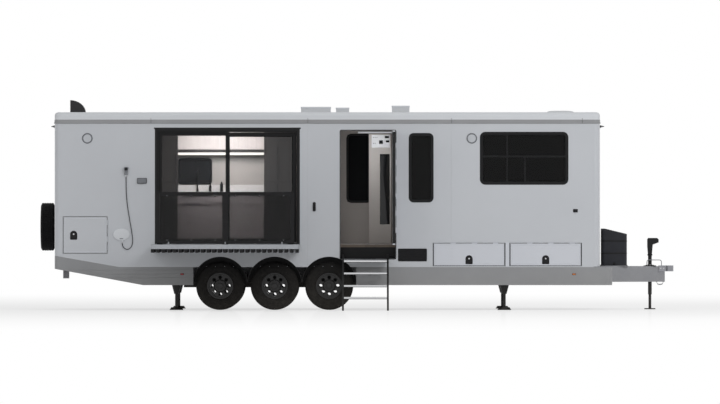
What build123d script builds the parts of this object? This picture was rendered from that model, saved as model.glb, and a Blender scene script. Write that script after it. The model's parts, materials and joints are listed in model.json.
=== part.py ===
from build123d import *
from math import atan2, hypot, pi, radians, tan
import os

# Travel trailer. +X points forward to the hitch, -Y is the door side, +Z is up.
# x = 0 and y = 0 are the axis of the tongue jack, z = 0 is the ground. Millimetres.

# Body shell
BODY_LENGTH = 9143.0
BODY_WIDTH = 2591.0
BODY_FRONT = -873.0
WALL_BOTTOM = 720.0
WALL_TOP = 3150.0
WALL_THICK = 38.0
CORNER_RADIUS = 100.0
CORNER_RUN = 6.0
PANEL_SEAMS = (-5773.6, -3362.0)
SEAM_WIDTH = 0.5
TAIL_BREAK = -8934.0
TAIL_RISE = 190.0
ROOF_HEIGHT = 165.0
ROOF_EDGE_RADIUS = 60.0
ROOF_DECK_THICK = 75.0

# Skirts below the walls
SKIRT_DROP = 303.0
SKIRT_THICK = 25.0
SKIRT_REAR_END = -7691.0
SKIRT_FRONT_START = -4959.0
APRON_FRONT = -667.0
APRON_RETURN = 500.0
TAIL_SKIRT_BREAK = -8532.0
TAIL_SKIRT_RISE = 273.0

# Floors
FLOOR_TOP = 1100.0
FLOOR_THICK = 50.0
PAN_THICK = 20.0
BULKHEAD_THICK = 40.0
BULKHEAD_PLACES = (-8700.0, -7800.0, -4250.0, -3750.0, -1100.0)

# Chassis
RAIL_HEIGHT = 263.0
RAIL_BOTTOM = 464.0
RAIL_SPREAD = 850.0
RAIL_FLANGE = 100.0
RAIL_FLANGE_THICK = 12.0
RAIL_WEB = 10.0
RAIL_REAR = -9960.0
RAIL_FRONT = -920.0
CROSSMEMBER_WIDTH = 60.0
CROSSMEMBER_PLACES = (-8600.0, -7900.0, -4800.0, -3600.0, -2400.0)
TONGUE_REAR = -1400.0
TONGUE_REAR_SPREAD = 640.0
TONGUE_TIP = 250.0
TONGUE_TIP_BACK = 120.0
TONGUE_TIP_WIDTH = 140.0
TONGUE_BEAM_WIDTH = 54.0

# Wheels and axles
AXLE_PITCH = 914.0
FIRST_AXLE = -5413.0
AXLE_COUNT = 3
TYRE_RADIUS = 403.0
TYRE_WIDTH = 235.0
RIM_RADIUS = 203.0
RIM_FLANGE = 17.0
RIM_WIDTH = 210.0
WHEEL_TRACK = 2245.0
WINDOW_COUNT = 8
WINDOW_RADIUS = 30.0
WINDOW_CIRCLE = 143.0
DRUM_RADIUS = 100.0
SPINDLE_RADIUS = 25.0
SPINDLE_CLEARANCE = 0.05
AXLE_TUBE_RADIUS = 38.0
ARCH_RADIUS = 460.0
ARCH_CENTRE_Z = 433.0
WELL_THICK = 10.0
SPRING_LENGTH = 640.0
SPRING_SAG = 60.0
SPRING_THICK = 28.0
SPRING_WIDTH = 60.0
SPRING_SEAT_DROP = 58.0

# Windows: side (-1 door side, 1 far side), rear edge, front edge, bottom, top, corner radius
WINDOW_FRAME = 42.0
WINDOW_LAP = 12.0
WINDOW_PROUD = 6.0
GLASS_THICK = 6.0
WINDOWS = (
    (-1, -4074.0, -3669.0, 1808.0, 2960.0, 75.0),
    (-1, -2881.0, -1409.0, 2105.0, 2980.0, 85.0),
    (1, -7984.0, -7421.0, 2117.0, 2546.0, 60.0),
    (1, -5117.0, -4711.0, 1808.0, 2960.0, 75.0),
    (1, -2881.0, -1409.0, 2105.0, 2980.0, 85.0),
)

# Patio opening, sliding door, deck and railing
PATIO_REAR = -8328.0
PATIO_FRONT = -5909.0
PATIO_TOP = 3032.0
PATIO_FRAME = 50.0
PATIO_SILL = 20.0
PATIO_FRAME_DEPTH = 130.0
SLIDER_THICK = 30.0
SLIDER_STILE = 62.0
SLIDER_GAP = 6.0
SLIDER_SET_BACK = 50.0
DECK_REAR = -8362.0
DECK_FRONT = -5914.0
DECK_REACH = 1935.0
DECK_FRAME_HEIGHT = 72.0
DECK_RIB_HEIGHT = 62.0
DECK_RIB_WIDTH = 50.0
DECK_RIB_COUNT = 27
DECK_HINGE_OUT = 14.0
DECK_HINGE_RADIUS = 9.0
DECK_HINGE_GAP = 15.5
DECK_KNUCKLE_LENGTH = 60.0
RAILING_REAR = -8270.0
RAILING_FRONT = -5990.0
RAILING_REACH = 1840.0
RAILING_PIVOT_HEIGHT = 34.0
RAILING_HEIGHT = 862.0
RAILING_THICK = 44.0
RAILING_BAR = 55.0
RAILING_POST = 95.0
RAILING_PIN_RADIUS = 8.0
RAILING_EAR_WIDTH = 20.0
RAILING_EAR_RADIUS = 14.0
RAILING_NOTCH = 40.0
RAILING_FOOT_CHAMFER = 8.0
RAILING_EAR_INSET = 200.0
EAR_CLEARANCE = 6.0

# Entry door and steps
DOORWAY_REAR = -5223.0
DOORWAY_FRONT = -4300.0
DOORWAY_BOTTOM = 860.0
DOORWAY_TOP = 3008.0
DOOR_GAP = 5.0
DOOR_BOTTOM = 1096.0
DOOR_THICK = 43.0
DOOR_PIN_OUT = 12.0
DOOR_PIN_AHEAD = 3.0
DOOR_PIN_RADIUS = 9.0
DOOR_GLASS_MARGIN = 190.0
HINGE_PIN_SHARE = 0.5
PIN_CLEARANCE = 0.05
RUNNER_GAP = 0.3
RUNNER_LENGTH = 60.0
STEP_WELL_DEPTH = 335.0
STEP_WELL_THICK = 6.0
STEP_TOPS = (831.0, 629.0, 422.0, 225.0)
STEP_TREAD_DEPTH = 240.0
STEP_TREAD_THICK = 35.0
STEP_TREAD_OUT = 30.0
STEP_REAR = -5196.0
STEP_FRONT = -4415.0
STEP_STRINGER = 32.0
STEP_STRINGER_DEPTH = 50.0
STEP_PIN_IN = 80.0
STEP_PIN_Z = 905.0
STEP_PIN_RADIUS = 12.0
STEP_BEND_OUT = 45.0
STEP_SLOPE = 41.3
STEP_CLEARANCE = 10.0

# Luggage doors
LUGGAGE_GAP = 5.0
LUGGAGE_SWEEP_GAP = 7.0
LUGGAGE_THICK = 30.0
LUGGAGE_PIN_OUT = 8.0
LUGGAGE_PIN_RADIUS = 6.0
FRONT_DOORS_BOTTOM = 742.0
FRONT_DOORS_TOP = 1120.0
MID_DOOR_REAR = -3662.0
MID_DOOR_FRONT = -2474.0
NOSE_DOOR_REAR = -2377.0
NOSE_DOOR_FRONT = -1192.0
REAR_DOOR_REAR = -9870.0
REAR_DOOR_FRONT = -9131.0
REAR_DOOR_BOTTOM = 949.0
REAR_DOOR_TOP = 1565.0
BIN_THICK = 12.0
BIN_DEPTH = 620.0

# Tongue jack, coupler and gas bottle cover
JACK_FOOT_RADIUS = 94.0
JACK_FOOT_THICK = 18.0
JACK_RAM_RADIUS = 24.0
JACK_TUBE_RADIUS = 32.0
JACK_TUBE_BOTTOM = 250.0
JACK_TUBE_TOP = 930.0
JACK_HEAD_TOP = 1203.0
JACK_PLATE_THICK = 12.0
BALL_RADIUS = 29.6
BALL_SOCKET_DEPTH = 42.0
COUPLER_NOSE_RADIUS = 72.0
COUPLER_NOSE_X = 325.0
COUPLER_BOTTOM = 640.0
COUPLER_PLATE = 12.0
COUPLER_NECK_WIDTH = 100.0
GAS_REAR = -823.0
GAS_FRONT = -396.0
GAS_TOP = 1361.0
GAS_FRONT_DROP = 90.0
GAS_WIDTH = 640.0
GAS_SHELL = 6.0
TRAY_THICK = 10.0
TRAY_LIP = 20.0

# Stabiliser jacks
STABILISER_PLACES = (-7974.0, -2475.0)
STABILISER_SPREAD = 1150.0
STABILISER_FOOT_RADIUS = 118.0
STABILISER_FOOT_THICK = 45.0
STABILISER_RAM_RADIUS = 24.0
STABILISER_HEAD_RADIUS = 78.0
STABILISER_HEAD_BOTTOM = 268.0
STABILISER_BODY_BOTTOM = 419.0

# Spare wheel and tail
SPARE_HEIGHT = 1392.0
SPARE_STANDOFF = 33.0
TAIL_BLOCK_REAR = -9908.0
TAIL_BLOCK_FRONT = -9807.0
TAIL_BLOCK_BOTTOM = 520.0
TAIL_BLOCK_WIDTH = 90.0

# Roof fittings
POD_REAR = -9784.0
POD_LENGTH = 254.0
POD_HEIGHT = 213.0
POD_WIDTH = 420.0

# Outdoor shower
SHOWER_HOSE_RADIUS = 6.5
SHOWER_BOX_X = -8894.0
SHOWER_BOX_Z = 1266.0
SHOWER_BOX_LENGTH = 272.0
SHOWER_BOX_HEIGHT = 200.0
SHOWER_BOX_THICK = 22.0
HANDSET_X = -8816.0
HANDSET_BOTTOM = 2263.0
HANDSET_TOP = 2397.0
HOSE_END_X = -8881.0
HOSE_OUT = 12.0
GLAND_DROP = 25.0

# Furniture
COUNTER_HEIGHT = 883.0
COUNTER_THICK = 40.0
COUNTER_DEPTH = 620.0
KITCHEN_REAR = -7990.0
KITCHEN_FRONT = -6522.0
WALL_CABINET_BOTTOM = 2700.0
WALL_CABINET_TOP = 2966.0
WALL_CABINET_DEPTH = 310.0
PANTRY_REAR = -8280.0
FRIDGE_FRONT = -5986.0
TALL_TOP = 3030.0

HALF_WIDTH = BODY_WIDTH / 2
INNER_HALF = HALF_WIDTH - WALL_THICK
BODY_REAR = BODY_FRONT - BODY_LENGTH
INNER_FRONT = BODY_FRONT - WALL_THICK
INNER_REAR = BODY_REAR + WALL_THICK
SIDE_REAR = BODY_REAR + CORNER_RADIUS + CORNER_RUN
SIDE_FRONT = BODY_FRONT - CORNER_RADIUS - CORNER_RUN
SKIRT_BOTTOM = WALL_BOTTOM - SKIRT_DROP
TAIL_TOP_Z = WALL_BOTTOM + TAIL_RISE
TAIL_LOW_Z = SKIRT_BOTTOM + TAIL_SKIRT_RISE
ROOF_TOP = WALL_TOP + ROOF_HEIGHT
FLOOR_BOTTOM = FLOOR_TOP - FLOOR_THICK
RAIL_TOP = RAIL_BOTTOM + RAIL_HEIGHT
PAN_TOP = RAIL_TOP + PAN_THICK
WHEEL_PLACES = [FIRST_AXLE - AXLE_PITCH * i for i in range(AXLE_COUNT)]
WHEEL_Y = WHEEL_TRACK / 2
RAIL_OUTER = RAIL_SPREAD + RAIL_FLANGE / 2
HOSE_Y = -HALF_WIDTH - HOSE_OUT

os.makedirs("parts", exist_ok=True)


def save(piece, name):
    """Labels a finished piece and writes it under its node's name."""
    piece.part.label = name
    export_step(piece.part, f"parts/{name}.step")


def block(x, y, z, mode=Mode.ADD):
    """A box between two limits on each axis, given as pairs."""
    with Locations(((x[0] + x[1]) / 2, (y[0] + y[1]) / 2, (z[0] + z[1]) / 2)):
        Box(x[1] - x[0], y[1] - y[0], z[1] - z[0], mode=mode)


def side_plane(side, distance):
    """The upright plane at a distance from the centreline; positive extrusion goes outward."""
    if side < 0:
        return Plane.XZ.offset(distance)
    return Plane(origin=(0, distance, 0), x_dir=(-1, 0, 0), z_dir=(0, 1, 0))


def across(side, y0, y1):
    """A pair of y limits on one side, given as distances from the centreline."""
    return tuple(sorted((side * y0, side * y1)))


def rounded(side, x, z, radius=0.0, mode=Mode.ADD):
    """A rectangle with round corners in a side plane's sketch."""
    centre = -side * (x[0] + x[1]) / 2
    with Locations((centre, (z[0] + z[1]) / 2)):
        if radius > 0:
            RectangleRounded(x[1] - x[0], z[1] - z[0], radius, mode=mode)
        else:
            Rectangle(x[1] - x[0], z[1] - z[0], mode=mode)


def side_outline(side, points):
    """A face from (x, z) points in a side plane's sketch."""
    Polygon(*[(-side * x, z) for x, z in points], align=None)


def barrel(x, y, z, radius, length, axis):
    """A round bar along one axis, centred on a point."""
    turn = {"X": (0, 90, 0), "Y": (90, 0, 0), "Z": (0, 0, 0)}[axis]
    with Locations((x, y, z)):
        Cylinder(radius, length, rotation=turn)


def bore(x, y, z, radius, length, axis):
    """A round hole along one axis, centred on a point."""
    turn = {"X": (0, 90, 0), "Y": (90, 0, 0), "Z": (0, 0, 0)}[axis]
    with Locations((x, y, z)):
        Cylinder(radius, length, rotation=turn, mode=Mode.SUBTRACT)


def line_z(x, x0, z0, x1, z1):
    """Height at x on the straight line through two points."""
    return z0 + (z1 - z0) * (x - x0) / (x1 - x0)


def tail_z(x):
    """Height of the wall's raked lower edge behind the break."""
    return line_z(x, TAIL_BREAK, WALL_BOTTOM, BODY_REAR, TAIL_TOP_Z)


def skirt_z(x):
    """Height of the skirt's raked lower edge behind its break."""
    return line_z(x, TAIL_SKIRT_BREAK, SKIRT_BOTTOM, BODY_REAR, TAIL_LOW_Z)


# Openings that the side walls share with their doors: rear edge, front edge, bottom, top
FRONT_LUGGAGE = (
    ("mid", MID_DOOR_REAR, MID_DOOR_FRONT, FRONT_DOORS_BOTTOM, FRONT_DOORS_TOP),
    ("nose", NOSE_DOOR_REAR, NOSE_DOOR_FRONT, FRONT_DOORS_BOTTOM, FRONT_DOORS_TOP),
)


def cut_windows(side):
    """Cuts one side's window openings in a wall sketch."""
    for window_side, x0, x1, z0, z1, radius in WINDOWS:
        if window_side == side:
            lap = WINDOW_LAP
            rounded(side, (x0 + lap, x1 - lap), (z0 + lap, z1 - lap), radius - lap, Mode.SUBTRACT)


def cut_arches(side):
    """Cuts the wheel arches in a sketch of one side."""
    with Locations(*[(-side * x, ARCH_CENTRE_Z) for x in WHEEL_PLACES]):
        Circle(ARCH_RADIUS, mode=Mode.SUBTRACT)


def cut_front_luggage(side):
    """Cuts the openings of the two lift-up luggage doors."""
    for _, x0, x1, z0, z1 in FRONT_LUGGAGE:
        gap = LUGGAGE_GAP
        rounded(side, (x0 - gap, x1 + gap), (z0 - LUGGAGE_SWEEP_GAP, z1 + gap), 0, Mode.SUBTRACT)


def part_panels(side):
    """Parts one side wall in a sketch at the upright joints between its panels."""
    for x in PANEL_SEAMS:
        rounded(side, (x - SEAM_WIDTH / 2, x + SEAM_WIDTH / 2), (0, WALL_TOP), 0, Mode.SUBTRACT)


SIDE_POINTS = (
    (SIDE_REAR, tail_z(SIDE_REAR)),
    (TAIL_BREAK, WALL_BOTTOM),
    (SIDE_FRONT, WALL_BOTTOM),
    (SIDE_FRONT, WALL_TOP),
    (SIDE_REAR, WALL_TOP),
)

# Side walls: three laminated panels each, with every opening cut through
with BuildPart() as near_wall:
    with BuildSketch(side_plane(-1, INNER_HALF)):
        side_outline(-1, SIDE_POINTS)
        cut_arches(-1)
        cut_windows(-1)
        cut_front_luggage(-1)
        rounded(-1, (PATIO_REAR, PATIO_FRONT), (FLOOR_TOP, PATIO_TOP), 0, Mode.SUBTRACT)
        rounded(-1, (DOORWAY_REAR, DOORWAY_FRONT), (DOORWAY_BOTTOM, DOORWAY_TOP), 0, Mode.SUBTRACT)
        rounded(
            -1,
            (REAR_DOOR_REAR - LUGGAGE_SWEEP_GAP, REAR_DOOR_FRONT + LUGGAGE_GAP),
            (REAR_DOOR_BOTTOM - LUGGAGE_GAP, REAR_DOOR_TOP + LUGGAGE_GAP),
            0,
            Mode.SUBTRACT,
        )
        part_panels(-1)
    extrude(amount=WALL_THICK)
save(near_wall, "near_wall")

with BuildPart() as far_wall:
    with BuildSketch(side_plane(1, INNER_HALF)):
        side_outline(1, SIDE_POINTS)
        cut_arches(1)
        cut_windows(1)
        cut_front_luggage(1)
        part_panels(1)
    extrude(amount=WALL_THICK)
save(far_wall, "far_wall")


def end_band(x_corner, x_end, bottom, top, thick, half_width, radius, returns):
    """A band across one end of the body that turns both corners and runs along the sides to x_corner."""
    middle = half_width - thick / 2
    nose = x_end - thick / 2 if x_end > x_corner else x_end + thick / 2
    with BuildSketch(Plane.XY.offset(bottom)) as band:
        with BuildLine():
            if returns:
                FilletPolyline(
                    (x_corner, -middle), (nose, -middle), (nose, -middle + returns), radius=radius - thick / 2
                )
            else:
                FilletPolyline(
                    (x_corner, -middle), (nose, -middle), (nose, middle), (x_corner, middle),
                    radius=radius - thick / 2,
                )
        trace(line_width=thick)
    extrude(band.sketch, amount=top - bottom)


# End walls, each turning both corners to meet the side walls
with BuildPart() as front_wall:
    end_band(SIDE_FRONT, BODY_FRONT, RAIL_TOP, WALL_TOP, WALL_THICK, HALF_WIDTH, CORNER_RADIUS, 0)
save(front_wall, "front_wall")

with BuildPart() as rear_wall:
    end_band(SIDE_REAR, BODY_REAR, WALL_BOTTOM, WALL_TOP, WALL_THICK, HALF_WIDTH, CORNER_RADIUS, 0)
    with BuildSketch(Plane.XZ.offset(-BODY_WIDTH)):
        side_outline(
            -1,
            (
                (BODY_REAR, TAIL_TOP_Z),
                (SIDE_REAR, tail_z(SIDE_REAR)),
                (SIDE_REAR, WALL_TOP),
                (BODY_REAR, WALL_TOP),
            ),
        )
    extrude(amount=2 * BODY_WIDTH, mode=Mode.INTERSECT)
save(rear_wall, "rear_wall")

# Roof: one moulded cap, hollow below between its rims
with BuildPart() as roof_cap:
    with BuildSketch(Plane.XY.offset(WALL_TOP)):
        with Locations(((BODY_REAR + BODY_FRONT) / 2, 0)):
            RectangleRounded(BODY_LENGTH, BODY_WIDTH, CORNER_RADIUS)
    extrude(amount=ROOF_HEIGHT)
    fillet(roof_cap.edges().group_by(Axis.Z)[-1], ROOF_EDGE_RADIUS)
    block((INNER_REAR, INNER_FRONT), (-INNER_HALF, INNER_HALF), (WALL_TOP, ROOF_TOP - ROOF_DECK_THICK), Mode.SUBTRACT)
save(roof_cap, "roof_cap")

# Skirts: the rear one turns the raked tail, the front ones turn in behind the hitch
with BuildPart() as skirts:
    end_band(
        SKIRT_REAR_END, BODY_REAR, SKIRT_BOTTOM, TAIL_TOP_Z, SKIRT_THICK, HALF_WIDTH, CORNER_RADIUS, 0
    )
    with BuildSketch(Plane.XZ.offset(-BODY_WIDTH)):
        side_outline(
            -1,
            (
                (BODY_REAR, TAIL_LOW_Z),
                (TAIL_SKIRT_BREAK, SKIRT_BOTTOM),
                (SKIRT_REAR_END, SKIRT_BOTTOM),
                (SKIRT_REAR_END, WALL_BOTTOM),
                (TAIL_BREAK, WALL_BOTTOM),
                (BODY_REAR, TAIL_TOP_Z),
            ),
        )
    extrude(amount=2 * BODY_WIDTH, mode=Mode.INTERSECT)
    end_band(
        SKIRT_FRONT_START, APRON_FRONT, SKIRT_BOTTOM, WALL_BOTTOM, SKIRT_THICK, HALF_WIDTH, CORNER_RADIUS,
        APRON_RETURN,
    )
    with BuildSketch(Plane.XY.offset(SKIRT_BOTTOM)):
        with BuildLine():
            FilletPolyline(
                (SKIRT_FRONT_START, HALF_WIDTH - SKIRT_THICK / 2),
                (APRON_FRONT - SKIRT_THICK / 2, HALF_WIDTH - SKIRT_THICK / 2),
                (APRON_FRONT - SKIRT_THICK / 2, HALF_WIDTH - SKIRT_THICK / 2 - APRON_RETURN),
                radius=CORNER_RADIUS - SKIRT_THICK / 2,
            )
        trace(line_width=SKIRT_THICK)
    extrude(amount=SKIRT_DROP)
save(skirts, "skirts")

# Main floor, cut out for the step well and the rear luggage bin
WELL_IN = HALF_WIDTH - STEP_WELL_DEPTH
BIN_IN = INNER_HALF - BIN_DEPTH
with BuildPart() as floor:
    block((INNER_REAR, INNER_FRONT), (-INNER_HALF, INNER_HALF), (FLOOR_BOTTOM, FLOOR_TOP))
    fillet(floor.edges().filter_by(Axis.Z), CORNER_RADIUS - WALL_THICK)
    block((DOORWAY_REAR, DOORWAY_FRONT), (-INNER_HALF, -WELL_IN), (FLOOR_BOTTOM, FLOOR_TOP), Mode.SUBTRACT)
    block(
        (REAR_DOOR_REAR - BIN_THICK - LUGGAGE_SWEEP_GAP, REAR_DOOR_FRONT + BIN_THICK + LUGGAGE_GAP),
        (-INNER_HALF, -BIN_IN),
        (FLOOR_BOTTOM, FLOOR_TOP),
        Mode.SUBTRACT,
    )
save(floor, "floor")

# Lower pan on the chassis rails, clear of the wheel wells, and the bulkheads that carry the floor
WELL_FRONT = WHEEL_PLACES[0] + ARCH_RADIUS
WELL_REAR = WHEEL_PLACES[-1] - ARCH_RADIUS
PAN_REAR = TAIL_BREAK
with BuildPart() as belly_pan:
    block((PAN_REAR, INNER_FRONT), (-INNER_HALF, INNER_HALF), (RAIL_TOP, PAN_TOP))
    fillet(belly_pan.edges().filter_by(Axis.Z).group_by(Axis.X)[-1], CORNER_RADIUS - WALL_THICK)
    for side in (-1, 1):
        block((WELL_REAR, WELL_FRONT), across(side, RAIL_OUTER, INNER_HALF), (RAIL_TOP, PAN_TOP), Mode.SUBTRACT)
    for x in BULKHEAD_PLACES:
        block((x - BULKHEAD_THICK, x), (-INNER_HALF, INNER_HALF), (PAN_TOP, FLOOR_BOTTOM))
save(belly_pan, "belly_pan")

# Wheel wells: an arched liner over the three wheels of each side, closed towards the rails
with BuildPart() as wheel_wells:
    for side in (-1, 1):
        with BuildSketch(side_plane(side, RAIL_OUTER)):
            with Locations(*[(-side * x, ARCH_CENTRE_Z) for x in WHEEL_PLACES]):
                Circle(ARCH_RADIUS)
            rounded(side, (WELL_REAR, WELL_FRONT), (-ARCH_RADIUS, RAIL_BOTTOM), 0, Mode.SUBTRACT)
        extrude(amount=INNER_HALF - RAIL_OUTER)
        with BuildSketch(side_plane(side, RAIL_OUTER + WELL_THICK)):
            with Locations(*[(-side * x, ARCH_CENTRE_Z) for x in WHEEL_PLACES]):
                Circle(ARCH_RADIUS - WELL_THICK)
        extrude(amount=INNER_HALF - RAIL_OUTER, mode=Mode.SUBTRACT)
save(wheel_wells, "wheel_wells")

# Chassis: two I-section rails, crossmembers and the tongue's two beams to its tip
TONGUE_TIP_CENTRE = TONGUE_TIP_WIDTH / 2 - TONGUE_BEAM_WIDTH / 2
TONGUE_SLOPE = (TONGUE_REAR_SPREAD - TONGUE_TIP_CENTRE) / (TONGUE_TIP_BACK - TONGUE_REAR)


def tongue_y(x):
    """Distance of the tongue beams' centre lines from the centreline."""
    return TONGUE_TIP_CENTRE + (TONGUE_TIP_BACK - x) * TONGUE_SLOPE


with BuildPart() as chassis_frame:
    for side in (-1, 1):
        web = across(side, RAIL_SPREAD - RAIL_WEB / 2, RAIL_SPREAD + RAIL_WEB / 2)
        flange = across(side, RAIL_SPREAD - RAIL_FLANGE / 2, RAIL_OUTER)
        block((RAIL_REAR, RAIL_FRONT), web, (RAIL_BOTTOM, RAIL_TOP))
        block((RAIL_REAR, RAIL_FRONT), flange, (RAIL_BOTTOM, RAIL_BOTTOM + RAIL_FLANGE_THICK))
        block((RAIL_REAR, RAIL_FRONT), flange, (RAIL_TOP - RAIL_FLANGE_THICK, RAIL_TOP))
    for x in CROSSMEMBER_PLACES + (RAIL_REAR + 200, TONGUE_REAR, RAIL_FRONT):
        block((x - CROSSMEMBER_WIDTH, x), (-RAIL_SPREAD, RAIL_SPREAD), (RAIL_BOTTOM, RAIL_TOP))
    for side in (-1, 1):
        with BuildSketch(Plane.XY.offset(RAIL_BOTTOM)):
            with BuildLine():
                Line((TONGUE_REAR, side * tongue_y(TONGUE_REAR)), (TONGUE_TIP_BACK, side * tongue_y(TONGUE_TIP_BACK)))
            trace(line_width=TONGUE_BEAM_WIDTH)
        extrude(amount=RAIL_HEIGHT)
    block((TONGUE_TIP_BACK, TONGUE_TIP), (-TONGUE_TIP_WIDTH / 2, TONGUE_TIP_WIDTH / 2), (RAIL_BOTTOM, RAIL_TOP))
    tray_half = GAS_WIDTH / 2 + TRAY_LIP
    block((GAS_REAR - TRAY_LIP, GAS_FRONT + TRAY_LIP), (-tray_half, tray_half), (RAIL_TOP, RAIL_TOP + TRAY_THICK))
    with BuildSketch(Plane.XZ.offset(-BODY_WIDTH)):
        side_outline(
            -1,
            (
                (BODY_REAR - 1, 0),
                (TAIL_SKIRT_BREAK, 0),
                (TAIL_SKIRT_BREAK, SKIRT_BOTTOM),
                (BODY_REAR - 1, skirt_z(BODY_REAR - 1)),
            ),
        )
    extrude(amount=2 * BODY_WIDTH, mode=Mode.SUBTRACT)
save(chassis_frame, "chassis_frame")

# Axles with seats, backing plates and spindles, and the leaf springs below with hangers and equalisers
SPINDLE_END = WHEEL_Y + 55.0
TUBE_END = WHEEL_Y - 72.0
SPRING_SEAT = TYRE_RADIUS - SPRING_SEAT_DROP
with BuildPart() as running_gear:
    for x in WHEEL_PLACES:
        barrel(x, 0, TYRE_RADIUS, AXLE_TUBE_RADIUS, 2 * TUBE_END, "Y")
        barrel(x, 0, TYRE_RADIUS, SPINDLE_RADIUS, 2 * SPINDLE_END, "Y")
        for side in (-1, 1):
            barrel(x, side * (TUBE_END - 5), TYRE_RADIUS, DRUM_RADIUS, 10, "Y")
            block(
                (x - 40, x + 40),
                across(side, RAIL_SPREAD - SPRING_WIDTH / 2, RAIL_SPREAD + SPRING_WIDTH / 2),
                (SPRING_SEAT, TYRE_RADIUS),
            )
    HALF_SPRING = SPRING_LENGTH / 2
    for side in (-1, 1):
        with BuildSketch(side_plane(side, RAIL_SPREAD - SPRING_WIDTH / 2)):
            for x in WHEEL_PLACES:
                low = SPRING_SEAT - SPRING_THICK
                with BuildLine():
                    ThreePointArc(
                        (-side * (x - HALF_SPRING), low + SPRING_SAG),
                        (-side * x, low),
                        (-side * (x + HALF_SPRING), low + SPRING_SAG),
                    )
                    Line((-side * (x + HALF_SPRING), low + SPRING_SAG),
                         (-side * (x + HALF_SPRING), SPRING_SEAT + SPRING_SAG))
                    ThreePointArc(
                        (-side * (x + HALF_SPRING), SPRING_SEAT + SPRING_SAG),
                        (-side * x, SPRING_SEAT),
                        (-side * (x - HALF_SPRING), SPRING_SEAT + SPRING_SAG),
                    )
                    Line((-side * (x - HALF_SPRING), SPRING_SEAT + SPRING_SAG),
                         (-side * (x - HALF_SPRING), low + SPRING_SAG))
                make_face()
            for x in WHEEL_PLACES:
                rounded(side, (x - 45, x + 45), (SPRING_SEAT - SPRING_THICK - 6, SPRING_SEAT))
                rounded(side, (x - 45, x + 45), (SPRING_SEAT, SPRING_SEAT + SPRING_SAG), 0, Mode.SUBTRACT)
            reach = (AXLE_PITCH - SPRING_LENGTH) / 2 + 20
            for x in [WHEEL_PLACES[0] + AXLE_PITCH / 2] + [w - AXLE_PITCH / 2 for w in WHEEL_PLACES]:
                rounded(side, (x - reach, x + reach), (SPRING_SEAT + SPRING_SAG - SPRING_THICK, RAIL_BOTTOM))
        extrude(amount=SPRING_WIDTH)
save(running_gear, "running_gear")

# Wheel and tyre forms about the Y axis, outer face towards -Y, copied to each place
WHEEL_FACE = RIM_WIDTH / 2
with BuildPart() as tyre_form:
    with BuildSketch(Plane.XY):
        half = TYRE_WIDTH / 2
        bead = WHEEL_FACE - 10
        with BuildLine():
            Polyline(
                (TYRE_RADIUS, half - 38),
                (TYRE_RADIUS - 22, half - 8),
                (TYRE_RADIUS - 100, half),
                (RIM_RADIUS + RIM_FLANGE, bead),
                (RIM_RADIUS, bead),
                (RIM_RADIUS, bead - 22),
                (TYRE_RADIUS - 28, bead - 22),
                (TYRE_RADIUS - 28, 22 - bead),
                (RIM_RADIUS, 22 - bead),
                (RIM_RADIUS, -bead),
                (RIM_RADIUS + RIM_FLANGE, -bead),
                (TYRE_RADIUS - 100, -half),
                (TYRE_RADIUS - 22, 8 - half),
                (TYRE_RADIUS, 38 - half),
                close=True,
            )
        make_face()
    revolve(axis=Axis.Y)

with BuildPart() as wheel_form:
    with BuildSketch(Plane.XY):
        with BuildLine():
            Polyline(
                (RIM_RADIUS, WHEEL_FACE - 10),
                (RIM_RADIUS + RIM_FLANGE, WHEEL_FACE - 10),
                (RIM_RADIUS + RIM_FLANGE, WHEEL_FACE),
                (RIM_RADIUS - 8, WHEEL_FACE),
                (RIM_RADIUS - 12, WHEEL_FACE - 25),
                (RIM_RADIUS - 12, 25 - WHEEL_FACE),
                (RIM_RADIUS - 8, -WHEEL_FACE),
                (RIM_RADIUS + RIM_FLANGE, -WHEEL_FACE),
                (RIM_RADIUS + RIM_FLANGE, 10 - WHEEL_FACE),
                (RIM_RADIUS, 10 - WHEEL_FACE),
                close=True,
            )
        make_face()
    revolve(axis=Axis.Y)
    barrel(0, -55, 0, RIM_RADIUS - 11, 14, "Y")
    with BuildSketch(Plane.XZ.offset(40)):
        with PolarLocations(WINDOW_CIRCLE, WINDOW_COUNT, start_angle=90):
            Circle(WINDOW_RADIUS)
    extrude(amount=40, mode=Mode.SUBTRACT)
    barrel(0, -5, 0, DRUM_RADIUS, 110, "Y")
    barrel(0, -70, 0, 55, 60, "Y")
    bore(0, 0, 0, SPINDLE_RADIUS + SPINDLE_CLEARANCE, 2 * 60, "Y")

PLACE_NAMES = ("front", "middle", "rear")
for side, side_name in ((-1, "near"), (1, "far")):
    for x, place in zip(WHEEL_PLACES, PLACE_NAMES):
        turn = 0 if side < 0 else 180
        spot = Location((x, side * WHEEL_Y, TYRE_RADIUS), (0, 0, turn))
        with BuildPart() as tyre:
            with Locations(spot):
                add(tyre_form.part)
        save(tyre, f"tyre_{side_name}_{place}")
        with BuildPart() as wheel:
            with Locations(spot):
                add(wheel_form.part)
        save(wheel, f"wheel_{side_name}_{place}")


def ring(side, outer_x, outer_z, width, radius, mode=Mode.ADD):
    """A rectangular ring of even width in a side plane's sketch."""
    rounded(side, outer_x, outer_z, radius, mode)
    inner_x = (outer_x[0] + width, outer_x[1] - width)
    inner_z = (outer_z[0] + width, outer_z[1] - width)
    rounded(side, inner_x, inner_z, max(radius - width, 0), Mode.SUBTRACT)


# Window frames: a flange outside the wall and a liner through it
with BuildPart() as window_frames:
    for side, x0, x1, z0, z1, radius in WINDOWS:
        with BuildSketch(side_plane(side, HALF_WIDTH)):
            ring(side, (x0, x1), (z0, z1), WINDOW_FRAME, radius)
        extrude(amount=WINDOW_PROUD)
        lap = WINDOW_LAP
        with BuildSketch(side_plane(side, INNER_HALF)):
            ring(side, (x0 + lap, x1 - lap), (z0 + lap, z1 - lap), WINDOW_FRAME - lap, radius - lap)
        extrude(amount=WALL_THICK)
save(window_frames, "window_frames")

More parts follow.
